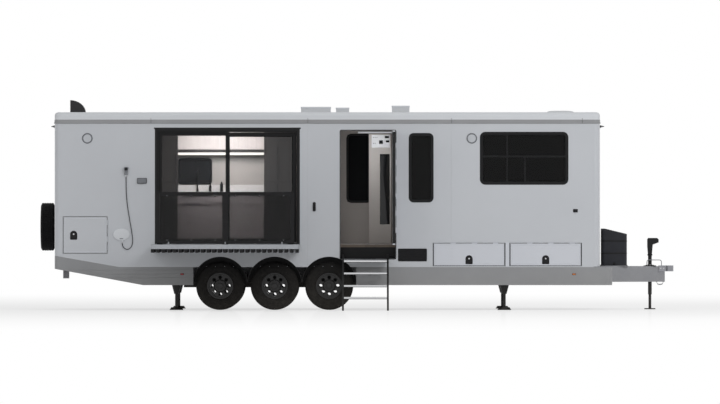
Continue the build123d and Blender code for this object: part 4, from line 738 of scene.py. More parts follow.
# What finish each CAD node takes, those that a piece replaces too
DRESS = {
    "wall_panels": "near_wall far_wall",
    "luggage_doors": "luggage_door_near_mid luggage_door_near_nose luggage_door_far_mid "
                     "luggage_door_far_nose",
    "body_panels": "front_wall rear_wall entry_door luggage_door_near_rear hinge_plates",
    "roof": "roof_cap",
    "skirt": "skirts",
    "chassis": "chassis_frame tail_fittings",
    "running_gear": "running_gear",
    "black_metal": "wheel_wells belly_pan step_well stabilisers patio_frame window_frames entry_steps "
                   "deck_ribs deck_railing sliding_door",
    "dark_glass": "window_glass entry_door_glass",
    "clear_glass": "sliding_glass",
    "smoked_acrylic": "railing_panels",
    "rim": "spare_wheel wheel_near_front wheel_near_middle wheel_near_rear wheel_far_front wheel_far_middle "
           "wheel_far_rear",
    "tyre": "tyre_near_front tyre_near_middle tyre_near_rear tyre_far_front tyre_far_middle "
            "tyre_far_rear spare_tyre",
    "jack": "tongue_jack",
    "coupler": "coupler",
    "gas_cover": "gas_cover",
    "roof_plastic": "roof_fittings",
    "white_plastic": "shower_box",
    "grey_plastic": "shower_handset",
    "floor_wood": "floor",
    "inner_wall": "luggage_bin partitions",
    "cabinet": "cabinets",
    "dark_cabinet": "tall_cupboards",
    "worktop": "countertop",
    "fabric": "mattress",
    "deck": "patio_deck",
    "hose": "shower_hose",
}


@dataclass
class Studio:
    """Pale floor, white surround, soft lamps and the camera at the photograph's angle."""

    centre: tuple[float, float, float] = (-4.896, -1.2955, 1.81)
    view_width: float = 12.067
    lens: float = 500.0
    sensor: float = 36.0
    floor_size: float = 2000.0
    mirror: float = 0.1
    lift: float = 0.62
    fade: tuple[float, float] = (6.0, 30.0)
    ambient: float = 0.42
    far_clip: float = 3000

    def build(self) -> None:
        """Makes the floor, the world, the lamps and the camera."""
        self.floor()
        self.world()
        self.lamp("key", (9.0, -22.0, 15.0), 10.0, 2350.0)
        self.lamp("fill", (-20.0, -22.0, 9.0), 12.0, 560.0)
        self.lamp("back", (-2.0, 22.0, 14.0), 12.0, 900.0)
        self.lamp("kitchen", (-7.2, -0.1, 2.93), 0.5, 52.0, (-7.2, 1.2, 1.7))
        self.lamp("hall", (-4.8, -1.0, 2.9), 0.4, 8.0, (-4.75, 0.4, 1.2))
        self.camera()

    def floor(self) -> None:
        """A wide flat sheet at ground level, white to the eye where nothing shades it."""
        half = self.floor_size / 2
        corners = np.array([(-half, -half, 0), (half, -half, 0), (half, half, 0), (-half, half, 0)])
        mesh = bpy.data.meshes.new("floor_sheet")
        mesh.from_pydata(corners.tolist(), [], [(0, 1, 2, 3)])
        sheet = put("floor_sheet", mesh)
        s = Shader("studio_floor")
        matt = s.node("ShaderNodeBsdfDiffuse", Color=(0.92, 0.92, 0.92))
        shine = s.node("ShaderNodeBsdfGlossy", Color=(1.0, 1.0, 1.0), Roughness=0.03)
        both = s.node("ShaderNodeMixShader", in_0=self.mirror, in_1=matt.outputs[0], in_2=shine.outputs[0])
        white = s.node("ShaderNodeEmission", Color=(1.0, 1.0, 1.0), Strength=1.0)
        rays = s.node("ShaderNodeLightPath")
        eye = s.math("MAXIMUM", rays.outputs["Is Camera Ray"], rays.outputs["Is Glossy Ray"])
        away = s.node(
            "ShaderNodeVectorMath", operation="DISTANCE", in_0=s.place(), in_1=(self.centre[0], 0.0, 0.0))
        fade = s.node(
            "ShaderNodeMapRange", Value=away.outputs["Value"], From_Min=self.fade[0], From_Max=self.fade[1],
            To_Min=self.lift, To_Max=1.0, interpolation_type="SMOOTHSTEP")
        seen = s.math("MULTIPLY", eye, fade.outputs[0])
        mesh.materials.append(
            s.finish("ShaderNodeMixShader", in_0=seen, in_1=both.outputs[0], in_2=white.outputs[0]))

    def world(self) -> None:
        """White to the eye and in reflections, softer as a lamp."""
        world = bpy.data.worlds.new("surround")
        bpy.context.scene.world = world
        world.use_nodes = True
        tree = world.node_tree
        tree.nodes.clear()
        rays = add_node(tree, "ShaderNodeLightPath", {})
        looks = ("Is Camera Ray", "Is Transmission Ray", "Is Glossy Ray")
        seen = rays.outputs[looks[0]]
        for look in looks[1:]:
            seen = add_node(
                tree, "ShaderNodeMath", {"operation": "MAXIMUM", "in_0": seen, "in_1": rays.outputs[look]}
            ).outputs[0]
        level = add_node(tree, "ShaderNodeMapRange", {"Value": seen, "To Min": self.ambient, "To Max": 1.0})
        white = add_node(
            tree, "ShaderNodeBackground", {"Color": (1.0, 1.0, 1.0), "Strength": level.outputs[0]})
        out = add_node(tree, "ShaderNodeOutputWorld", {})
        tree.links.new(white.outputs[0], out.inputs["Surface"])

    def lamp(self, name: str, place: tuple[float, float, float], size: float, power: float,
             target: tuple[float, float, float] = (-4.9, 0.0, 1.6)) -> None:
        """A square area lamp that faces a target and shows in no reflection."""
        data = bpy.data.lights.new(name, "AREA")
        data.size = size
        data.energy = power
        made = put(name, data)
        made.visible_glossy = False
        made.location = place
        made.rotation_euler = (Vector(target) - Vector(place)).to_track_quat("-Z", "Y").to_euler()

    def camera(self) -> None:
        """Level, square to the door side, far enough away to flatten the view as the photograph does."""
        data = bpy.data.cameras.new("camera")
        data.lens = self.lens
        data.sensor_width = self.sensor
        data.clip_end = self.far_clip
        made = put("camera", data)
        distance = self.view_width * self.lens / self.sensor
        made.location = (self.centre[0], self.centre[1] - distance, self.centre[2])
        made.rotation_euler = (math.pi / 2, 0, 0)
        bpy.context.scene.camera = made


Materials = dict[str, bpy.types.Material]


# Sub-assemblies


@dataclass
class Assembly:
    """What every sub-assembly shares: the finishes, the record's slots and the pieces made so far."""

    materials: Materials
    slots: frozenset[str]
    made: list[str] = field(default_factory=list)

    def add(self, name: str, surface: Surface, finish: str, body: str = "trailer",
            sharp: float = 35.0) -> bpy.types.Object:
        """Makes one piece in a finish and notes its name.

        Args:
            name: The piece's name.
            surface: Its points and faces.
            finish: The finish's name.
            body: The CAD body that it rides on.
            sharp: Angle in degrees above which an edge stays sharp.

        Returns:
            The object.
        """
        self.made.append(name)
        return piece(
            name, surface, self.materials[finish], body, sharp)


def along(side: Side, x: float) -> float:
    """The u coordinate of a place along the body on a side's plane whose origin is at x = 0."""
    return -side.value * x


def merge(surfaces: Sequence[Surface]) -> Surface:
    """Several surfaces as one."""
    return surfaces[0].joined(*surfaces[1:])


def dome(plane: Plane3, radius: float, height: float, segments: int = 10) -> Surface:
    """A low round head: r = radius cos a, w = height sin a, for a from 0 to a right angle."""
    return lathe(
        plane, [(radius, -0.001), (radius, 0), (radius * 0.8, height * 0.7), (radius * 0.35, height)],
        segments)


def bolt(plane: Plane3, radius: float, height: float) -> Surface:
    """A hexagon head on a washer."""
    washer = lathe(plane, [(radius * 1.35, -0.001), (radius * 1.35, 0.0015), (radius * 1.2, 0.002)], 16)
    t = np.arange(6) * math.pi / 3
    ring = np.column_stack([np.cos(t), np.sin(t)])
    levels = ((radius, 0.0), (radius, height * 0.8), (radius * 0.82, height))
    return washer.joined(loft(plane.place(np.stack([lifted(ring * r, w) for r, w in levels]))))


WHEELS = {f"{side}_{place}": (x, 1.1225 * sign) for side, sign in (("near", -1), ("far", 1))
          for place, x in (("front", -5.413), ("middle", -6.327), ("rear", -7.241))}
AXLE_HEIGHT = 0.403


@dataclass
class Tyres(Assembly):
    """Road tyres with a cut tread and ribbed sides, for the six wheels and the spare."""

    radius: float = 0.403
    groove_depth: float = 0.009
    groove_half: float = 0.0045
    grooves: tuple[float, ...] = (-0.058, -0.02, 0.02, 0.058)
    tread_half: float = 0.09
    pitches: int = 60
    slant: float = 0.5
    side_profile: tuple[tuple[float, float], ...] = (
        (0.213, 0.086), (0.221, 0.097), (0.233, 0.1035), (0.235, 0.1065), (0.245, 0.1075), (0.247, 0.105),
        (0.272, 0.1125), (0.298, 0.1155), (0.3, 0.1172), (0.309, 0.1172), (0.311, 0.1155), (0.336, 0.1155),
        (0.356, 0.1125), (0.358, 0.1145), (0.369, 0.112), (0.371, 0.109), (0.386, 0.103), (0.3965, 0.0965))

    def section(self) -> tuple[np.ndarray, np.ndarray, np.ndarray]:
        """Radius, width and depth of the cross cuts, from one bead over the tread to the other."""
        side = np.array(self.side_profile)
        tread: list[tuple[float, float, float]] = [(self.radius - 0.0015, -self.tread_half, 1.0)]
        for g in self.grooves:
            h, low = self.groove_half, self.radius - self.groove_depth
            tread += [
                (self.radius, g - h - 0.0005, 1.0), (low, g - h + 0.001, 0.0), (low, g + h - 0.001, 0.0),
                (self.radius, g + h + 0.0005, 1.0)]
        tread.append((self.radius - 0.0015, self.tread_half, 1.0))
        cut = np.clip((side[:, 0] - 0.375) / 0.01, 0, 1)
        left = np.column_stack([side[:, 0], -side[:, 1], cut])
        right = np.column_stack([side[:, 0], side[:, 1], cut])[::-1]
        inner = np.array([(0.235, 0.075, 0), (0.3, 0.1, 0), (0.37, 0.09, 0), (0.37, -0.09, 0), (0.3, -0.1, 0),
                          (0.235, -0.075, 0)])
        rows = np.concatenate([left, np.array(tread), right, inner])
        return rows[:, 0], rows[:, 1], rows[:, 2]

    def form(self, plane: Plane3) -> Surface:
        """The section carried round: r(s, t) = section(s) less the depth in cross cuts, which lean with w."""
        r, w, cut = self.section()
        step = 2 * math.pi / self.pitches
        t = (np.arange(self.pitches)[:, None] * step + np.array([0.0, 0.03, 0.17, 0.2]) * step).ravel()
        low = np.tile([0.0, 1.0, 1.0, 0.0], self.pitches)
        lean = self.slant * np.clip(w, -0.1, 0.1)
        radius = r[:, None] - self.groove_depth * 0.8 * cut[:, None] * low
        angle = t + lean[:, None]
        rings = np.stack(
            [radius * np.cos(angle), radius * np.sin(angle), np.broadcast_to(w[:, None], angle.shape)], -1)
        return loft(plane.place(rings), closed=True)

    def build(self) -> None:
        """Puts a tyre in place of each plain one."""
        for name, (x, y) in WHEELS.items():
            tyre = self.add(f"tread_{name}", self.form(axis_plane((x, y, AXLE_HEIGHT), "-Y")), "tyre",
                            f"{name}_wheel", 28)
            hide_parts(f"tyre_{name}")
        spare = self.add("tread_spare", self.form(axis_plane(SPARE_CENTRE, "-X")), "tyre", sharp=28)
        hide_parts("spare_tyre")


@dataclass
class WheelFasteners(Assembly):
    """Nuts, hub caps and valves on the wheels."""

    nuts: int = 8
    circle: float = 0.0825
    face: float = 0.079
    cap_radius: float = 0.05
    cap_base: float = 0.1005

    def set_of(self, plane: Plane3, hub: bool) -> tuple[Surface, Surface]:
        """Nuts on a circle (r cos t, r sin t), and a turned cap with a valve stem near the rim."""
        u, v = np.array(plane.u), np.array(plane.v)
        w = np.cross(u, v)
        t = (np.arange(self.nuts) + 0.5) * 2 * math.pi / self.nuts
        first = Plane3(tuple(np.array(plane.origin) + w * self.face), plane.u, plane.v)
        nut = bolt(first, 0.0135, 0.017)
        nuts = copies(nut, self.circle * (np.cos(t)[:, None] * u + np.sin(t)[:, None] * v))
        stem_at = np.array(plane.origin) + w * 0.062 + v * 0.183
        stem = tube(np.stack([stem_at, stem_at + w * 0.018 + v * -0.004, stem_at + w * 0.036 - v * 0.012]),
                    np.array([0.006, 0.005, 0.004]), 10)
        if not hub:
            return nuts, stem
        r, b = self.cap_radius, self.cap_base
        nave = lathe(
            plane,
            [(0.11, 0.06), (0.108, 0.064), (0.1, 0.074), (0.094, 0.079), (0.056, 0.079), (0.054, 0.06)], 48,
            True)
        cap = lathe(
            plane,
            [
                (r, b - 0.02), (r, b), (r * 0.94, b + 0.004), (r * 0.9, b + 0.005), (r * 0.86, b + 0.003),
                (r * 0.5, b + 0.005), (r * 0.2, b + 0.006)],
            32)
        return nuts, cap.joined(stem, nave)

    def build(self) -> None:
        """Fastens the six wheels and the spare."""
        for name, (x, y) in WHEELS.items():
            plane = axis_plane((x, y, AXLE_HEIGHT), "-Y" if y < 0 else "+Y")
            nuts, cap = self.set_of(plane, True)
            self.add(f"nuts_{name}", nuts, "rim", f"{name}_wheel")
            self.add(f"cap_{name}", cap, "rim", f"{name}_wheel")
        nuts, stem = self.set_of(axis_plane(SPARE_CENTRE, "-X"), False)
        self.add("nuts_spare", nuts, "rim")
        self.add("valve_spare", stem, "black_trim")


@dataclass
class BodyTrim(Assembly):
    """Drip rails, panel joints, rivets, skirt ribs, marker lamps and end lamps of the body."""

    seams: tuple[float, ...] = (-5.7736, -3.362)
    skirt_ribs: tuple[tuple[float, float], ...] = ((-9.84, 0.665), (-9.5, 0.602), (-9.16, 0.54))
    skirt_end: float = -7.7
    markers: tuple[float, ...] = (-7.879, -4.728, -1.309)
    marker_height: float = 0.6
    roof_seams: tuple[float, ...] = (-8.4, -5.77, -3.36, -1.17)

    def build(self) -> None:
        """Trims both long sides and the two ends; the drip rail is one closed moulding round the body, in the
        skirt's darker grey, which also stands in as painted shade for the shadow line under the roof edge.
        """
        middle, length = (REAR_X + FRONT_X) / 2, FRONT_X - REAR_X
        # A real drip moulding, but its darker grey partly paints the shadow line under the roof edge (painted
        # shade).
        rail = bezel(axis_plane((middle, 0, 0), "+Z"), length, 2 * HALF_WIDTH, 0.1,
                     [(0.001, 3.125), (-0.008, 3.124), (-0.013, 3.128), (-0.0125, 3.134), (-0.005, 3.15),
                      (-0.003, 3.186), (0.001, 3.192)])
        self.add("drip_rail", rail, "skirt")
        for side in Side:
            tag = side.name.lower()
            plane = side_plane(side)
            joints = [run(plane, [(3.255, -0.006), (3.21, 0.0012), (3.13, 0.0138), (3.13, -0.001)],
                          along(side, x) - 0.002, along(side, x) + 0.002) for x in self.roof_seams]
            self.add(f"roof_joints_{tag}", merge(joints), "seal_rubber")
            self.rivets(side, tag)
            self.ribs(side, tag)
            self.marker_lamps(side, tag)
        self.end_lamp("rear", REAR_X, -1)
        self.end_lamp("front", FRONT_X, 1)
        jamb = box((-5.906, -5.868), (-HALF_WIDTH - 0.004, -HALF_WIDTH + 0.001), (1.075, 3.05), 0.002)
        self.add("patio_cover_strip", jamb, "body_panels")

    def rivets(self, side: Side, tag: str) -> None:
        """Columns of low heads beside the panel joints, and a row above the skirt clear of the openings."""
        z = np.arange(0.78, 3.13, 0.062)
        head = dome(side_plane(side), 0.0042, 0.0016, 8)
        columns = np.concatenate([np.column_stack([np.full(z.size, x + d), np.zeros(z.size), z])
                                  for x in self.seams for d in (-0.011, 0.011)])
        x = np.arange(REAR_X + 0.6, FRONT_X - 0.2, 0.15)
        row = np.column_stack([x, np.zeros(x.size), np.full(x.size, 0.731)])
        row = row[(row[:, 0] > -8.85) & ((row[:, 0] < -5.25) | (row[:, 0] > -4.25) | (side is Side.FAR))]
        self.add(f"rivets_{tag}", copies(head, np.concatenate([columns, row])), "body_panels", sharp=60)

    def ribs(self, side: Side, tag: str) -> None:
        """Half-round ribs pressed along the rear skirt, ended by its raked edge."""
        bars = []
        for x, z in self.skirt_ribs:
            ends = sorted((along(side, x), along(side, self.skirt_end)))
            rib = [(-0.008, -0.001), (-0.006, 0.003), (0.0, 0.0045), (0.006, 0.003), (0.008, -0.001)]
            bars.append(run(side_plane(side, z=z), rib, *ends))
        self.add(f"skirt_ribs_{tag}", merge(bars), "skirt")

    def marker_lamps(self, side: Side, tag: str) -> None:
        """Oval marker lamps: a black base, and a lens crowned by insets that grow with height."""
        for i, x in enumerate(self.markers):
            plane = side_plane(side, x, self.marker_height)
            base = slab(plane, 0.066, 0.028, 0.012, [(0, -0.001), (0, 0.004), (0.002, 0.006)])
            lens = slab(
                plane, 0.056, 0.02, 0.01, [(0, 0.004), (0.0005, 0.009), (0.003, 0.012), (0.006, 0.0135)])
            self.add(f"marker_base_{tag}_{i}", base, "black_trim")
            self.add(f"marker_lens_{tag}_{i}", lens, "red_lens" if i < 1 else "amber_lens")

    def end_lamp(self, tag: str, x: float, way: int) -> None:
        """A hooded lamp high on an end wall: its side profile carried across, and a lens below the hood."""
        plane = axis_plane((x, 0, 0), "+X" if way > 0 else "-X")
        reach = 0.098 if way > 0 else 0.09
        profile = [
            (3.112, -0.002), (3.106, 0.03), (3.09, reach), (3.078, reach), (3.082, 0.06), (3.072, 0.045),
            (3.05, 0.02), (3.05, -0.002)]
        hood = run(plane, profile, -0.085, 0.085)
        profile = [(3.082, 0.078), (3.076, 0.078), (3.052, 0.024), (3.056, 0.02), (3.074, 0.05)]
        lens = run(plane, profile, -0.074, 0.074)
        self.add(f"end_lamp_hood_{tag}", hood, "black_plastic")
        self.add(f"end_lamp_lens_{tag}", lens, "clear_lens")


@dataclass
class WallFittings(Assembly):
    """Vent grille, speakers, outlet, inlet and grab handle on the door side."""

    vent: tuple[float, float, float, float] = (-4.259, -3.774, 0.816, 1.029)
    slats: int = 6
    speakers: tuple[float, ...] = (-9.466, -3.022)
    speaker_height: float = 2.877
    speaker_radius: float = 0.085
    outlet: tuple[float, float, float, float] = (-8.633, -8.469, 2.118, 2.212)
    inlet: tuple[float, float, float, float] = (-1.325, -1.245, 1.636, 1.692)
    handle: tuple[float, float, float] = (-5.663, 1.659, 1.803)
    handle_out: float = 0.052

    def build(self) -> None:
        """Makes the fittings of the near wall."""
        self.vent_grille()
        for i, x in enumerate(self.speakers):
            self.speaker(i, x)
        self.covers()
        self.grab_handle()

    def vent_grille(self) -> None:
        """A frame with a dark back and downward slats, each a slanted profile carried along."""
        x0, x1, z0, z1 = self.vent
        plane, w, h = over(Side.NEAR, self.vent)
        frame = bezel(
            plane, w, h, 0.014,
            [(0, -0.001), (0, 0.009), (0.003, 0.012), (0.016, 0.012), (0.019, 0.008), (0.019, -0.001)])
        back = slab(plane, w - 0.03, h - 0.03, 0.006, [(0, -0.001), (0, 0.001)])
        pitch = (h - 0.044) / self.slats
        bars = []
        for v in -h / 2 + 0.022 + pitch * np.arange(self.slats):
            slat = [
                (v, 0.001), (v + pitch * 0.85, 0.0105), (v + pitch * 0.95, 0.0105), (v + pitch * 0.12, 0.001)]
            bars.append(run(plane, slat, -w / 2 + 0.017, w / 2 - 0.017))
        screws = [dome(side_plane(Side.NEAR, px, pz, 0.012), 0.0045, 0.0015, 8)
                  for px in (x0 + 0.009, (x0 + x1) / 2, x1 - 0.009) for pz in (z0 + 0.009, z1 - 0.009)]
        self.add("vent_frame", frame, "black_plastic")
        self.add("vent_slats", merge(bars), "black_plastic")
        self.add("vent_back", back, "seal_rubber")
        self.add("vent_screws", merge(screws), "black_trim")

    def speaker(self, i: int, x: float) -> None:
        """A round outdoor speaker: a turned rim, a black ring of painted shadow round it, and a domed grille
        pressed into rings.
        """
        plane = side_plane(Side.NEAR, x, self.speaker_height)
        r = self.speaker_radius
        rim = lathe(
            plane,
            [
                (r, -0.001), (r, 0.007), (r - 0.005, 0.013), (r - 0.013, 0.014), (r - 0.018, 0.009),
                (r - 0.018, -0.001)],
            48, True)
        s = np.linspace(0, 1, 29)
        radius = (r - 0.017) * (1 - s * 0.97)
        height = 0.007 + 0.005 * s + 0.0012 * np.cos(s * 14 * math.pi)
        grille = lathe(plane, [(r - 0.017, 0.0), *zip(radius.tolist(), height.tolist())], 48)
        # Painted shadow: a black ring just outside the rim, standing in for the shadow the rim casts on the
        # wall.
        shadow = lathe(
            plane, [(r + 0.003, -0.001), (r + 0.003, 0.003), (r - 0.001, 0.003), (r - 0.001, -0.001)], 48,
            True)
        self.add(f"speaker_rim_{i}", rim, "grey_plastic")
        self.add(f"speaker_gasket_{i}", shadow, "seal_rubber")
        self.add(f"speaker_grille_{i}", grille, "body_panels", sharp=20)

    def covers(self) -> None:
        """Covers of the outlet and the inlet: a base flange, a crowned lid above a gap, and a catch."""
        for name, limits, out, finish in (
                ("outlet", self.outlet, 0.034, "grey_plastic"), ("inlet", self.inlet, 0.018, "black_plastic")
        ):
            plane, w, h = over(Side.NEAR, limits)
            base = slab(
                plane, w, h, 0.012,
                [(0, -0.001), (0, 0.003), (0.002, 0.005), (0.008, 0.005), (0.008, out * 0.55)])
            lid = slab(
                plane, w - 0.014, h - 0.014, 0.012,
                [(0, out * 0.58), (0, out * 0.8), (0.003, out * 0.95), (0.009, out)])
            self.add(f"{name}_base", base, "black_plastic")
            self.add(f"{name}_lid", lid, finish)
            x, z = limits[0], limits[2]
            catch = box((x + w * 0.38, x + w * 0.62), (-HALF_WIDTH - out * 0.98, -HALF_WIDTH - out * 0.3),
                        (z + 0.001, z + 0.008), 0.002)
            self.add(f"{name}_catch", catch, "black_trim")

    def grab_handle(self) -> None:
        """A bar bent out from two round feet: its path leaves the wall, turns and comes back."""
        x, z0, z1 = self.handle
        y, out = -HALF_WIDTH, self.handle_out
        bend = np.array(
            [(0, 0), (0.6, 0.0), (0.88, 0.06), (1, 0.2), (1, 0.5), (1, 0.8), (0.88, 0.94), (0.6, 1), (0, 1)])
        path = np.column_stack([np.full(len(bend), x), y - out * 0.86 * bend[:, 0],
                                z0 + 0.012 + (z1 - z0 - 0.024) * bend[:, 1]])
        bar = tube(path, 0.0075, 14)
        feet = [
            lathe(
                side_plane(Side.NEAR, x, z), [(0.02, -0.001), (0.02, 0.003), (0.017, 0.006), (0.009, 0.008)],
                24)
            for z in (z0 + 0.012, z1 - 0.012)]
        self.add("grab_bar", bar, "black_trim", sharp=60)
        plate = slab(side_plane(Side.NEAR, x, (z0 + z1) / 2), 0.05, z1 - z0 + 0.008, 0.016,
                     [(0, -0.001), (0, 0.004), (0.003, 0.007), (0.012, 0.007), (0.016, 0.003)])
        self.add("grab_plate", plate, "black_trim")
        self.add("grab_feet", merge(feet), "black_trim")


@dataclass
class Window:
    """One window: its side, limits along the body and up, and corner radius."""

    name: str
    side: Side
    limits: tuple[float, float, float, float]
    radius: float
    bars: bool = False


WINDOWS = (
    Window("hall", Side.NEAR, (-4.074, -3.669, 1.808, 2.960), 0.075),
    Window("bedroom", Side.NEAR, (-2.881, -1.409, 2.105, 2.980), 0.085, True),
    Window("kitchen", Side.FAR, (-7.984, -7.421, 2.117, 2.546), 0.060),
    Window("lounge", Side.FAR, (-5.117, -4.711, 1.808, 2.960), 0.075),
    Window("bedroom_far", Side.FAR, (-2.881, -1.409, 2.105, 2.980), 0.085, True),
)


@dataclass
class WindowTrim(Assembly):
    """Seals, glazing bars and catches of the body's windows."""

    frame_width: float = 0.042
    transom: float = 2.573
    mullions: tuple[float, float] = (-2.432, -2.130)

    def build(self) -> None:
        """Trims every window."""
        for window in WINDOWS:
            f = self.frame_width
            plane, w, h = over(window.side, window.limits)
            gasket = bezel(plane, w - 2 * f + 0.004, h - 2 * f + 0.004, window.radius - f + 0.002,
                           [(0, -0.0068), (0, 0.003), (0.003, 0.004), (0.010, -0.001), (0.012, -0.0068)])
            flange = bezel(plane, w + 0.012, h + 0.012, window.radius + 0.006,
                           [(0, -0.0005), (0, 0.0015), (0.003, 0.003), (0.009, 0.003), (0.009, -0.0005)])
            self.add(f"window_gasket_{window.name}", gasket, "seal_rubber")
            self.add(f"window_flange_{window.name}", flange, "seal_rubber")
            if window.bars:
                self.glazing_bars(window)

    def glazing_bars(self, window: Window) -> None:
        """A transom, a sash bar up the window and a short mullion, of one stepped section, with catches."""
        x0, x1, z0, z1 = window.limits
        f = self.frame_width
        side = window.side
        section = [
            (-0.016, -0.0068), (-0.016, 0.002), (-0.012, 0.005), (0.012, 0.005), (0.016, 0.002),
            (0.016, -0.0068)]
        plane = side_plane(side, z=self.transom)
        ends = sorted((along(side, x0 + f - 0.004), along(side, x1 - f + 0.004)))
        bars = [run(plane, section, *ends)]
        s = side.value
        upright = Plane3((0, s * HALF_WIDTH, 0), (0, 0, 1), (s, 0, 0))
        for x, top in zip(self.mullions, (z1 - f + 0.004, self.transom)):
            shift = [(v * 0.7 + s * x, w * 0.6) for v, w in section]
            bars.append(run(upright, shift, z0 + f - 0.004, top))
        self.add(f"glazing_bars_{window.name}", merge(bars), "black_metal")
        catches = [box((x - 0.03, x + 0.03), sorted((s * (HALF_WIDTH + 0.004), s * (HALF_WIDTH + 0.011))),
                       (self.transom - 0.008, self.transom + 0.008), 0.003) for x in (x0 + 0.25, x1 - 0.25)]
        self.add(f"window_catches_{window.name}", merge(catches), "black_trim")


@dataclass
class LuggageDoors(Assembly):
    """Seals, big D latches, locks and joint strips of the luggage doors on both sides."""

    doors: tuple[tuple[str, Side, float, float, float, float], ...] = (
        ("near_mid", Side.NEAR, -3.662, -2.474, 0.742, 1.12),
        ("near_nose", Side.NEAR, -2.377, -1.192, 0.742, 1.12),
        ("far_mid", Side.FAR, -3.662, -2.474, 0.742, 1.12),
        ("far_nose", Side.FAR, -2.377, -1.192, 0.742, 1.12),
        ("near_rear", Side.NEAR, -9.87, -9.131, 0.949, 1.565))
    latch_size: tuple[float, float] = (0.12, 0.15)
    latch_bottom: float = 0.768
    rear_latch: tuple[float, float] = (-9.695, 1.178)
    out: float = 0.009

    def outline(self, width: float, height: float) -> np.ndarray:
        """A D on its side: a half circle of width/2 over a rectangle with small lower corners."""
        r, c = width / 2, 0.012
        t = np.linspace(0, math.pi, 17)
        top = np.column_stack([r * np.cos(t), height - r + r * np.sin(t)])
        q = np.linspace(0, math.pi / 2, 4)
        left = np.column_stack([-r + c - c * np.cos(q), c - c * np.sin(q)])
        right = np.column_stack([r - c + c * np.sin(q), c - c * np.cos(q)])
        return np.concatenate([top, left, right])

    def latch(self, plane: Plane3) -> tuple[Surface, Surface, Surface]:
        """A flange whose outline shrinks with height round a recess, a paddle in it and a round lock."""
        width, height = self.latch_size
        middle = np.array([0, height * 0.45])
        line = self.outline(width, height) - middle
        steps = ((1.0, -0.001), (1.0, 0.003), (0.96, 0.0055), (0.86, 0.006), (0.82, 0.0015))
        flange = loft(plane.place(np.stack([lifted(line * k + middle, w) for k, w in steps])))
        line = self.outline(width * 0.66, height * 0.66)
        lift = np.array([0, height * 0.14])
        steps = ((1.0, 0.001), (1.0, 0.006), (0.94, self.out - 0.001), (0.8, self.out))
        rings = [lifted(line * k + lift + (1 - k) * middle, w) for k, w in steps]
        paddle = loft(plane.place(np.stack(rings)))
        u, v = np.array(plane.u), np.array(plane.v)
        at = np.array(plane.origin) + v * (height * 0.62)
        lock = lathe(
            Plane3(tuple(at), plane.u, plane.v),
            [(0.013, 0.006), (0.013, 0.0105), (0.011, 0.012), (0.004, 0.012), (0.003, 0.0105)], 20)
        return flange, paddle, lock

    def build(self) -> None:
        """Dresses the five doors, and the wall between them."""
        for name, side, x0, x1, z0, z1 in self.doors:
            body = f"luggage_door_{name}_leaf"
            plane, w, h = over(side, (x0, x1, z0, z1))
            seal = bezel(
                plane, w - 0.004, h - 0.004, 0.012,
                [(0, -0.006), (0, -0.0002), (0.004, 0.0008), (0.006, -0.006)])
            self.add(f"door_seal_{name}", seal, "seal_rubber", body)
            panel = bezel(
                plane, w - 0.05, h - 0.05, 0.02,
                [(0, -0.001), (0.003, 0.0022), (0.009, 0.0022), (0.012, -0.001)])
            self.add(f"door_pressing_{name}", panel, "luggage_doors", body)
            if name == "near_rear":
                x, z = self.rear_latch
            else:
                x, z = (x0 + x1) / 2, self.latch_bottom
            flange, paddle, lock = self.latch(side_plane(side, x, z))
            self.add(f"latch_flange_{name}", flange, "black_plastic", body)
            self.add(f"latch_paddle_{name}", paddle, "black_trim", body)
            self.add(f"latch_lock_{name}", lock, "bright_steel", body)
        for side in Side:
            tag = side.name.lower()
            s = side.value
            face = sorted((s * (HALF_WIDTH - 0.001), s * (HALF_WIDTH + 0.0035)))
            low = sorted((s * (HALF_WIDTH - 0.001), s * (HALF_WIDTH + 0.0015)))
            cover = box((-2.458, -2.393), face, (0.728, 1.132), 0.004)
            self.add(f"door_post_cover_{tag}", cover, "luggage_doors")
            lines = [
                box((x - 0.006, x + 0.006), low, (0.735, 1.125), 0.001)
                for x in (-3.67, -2.466, -2.385, -1.184)]
            self.add(f"door_post_lines_{tag}", merge(lines), "seal_rubber")


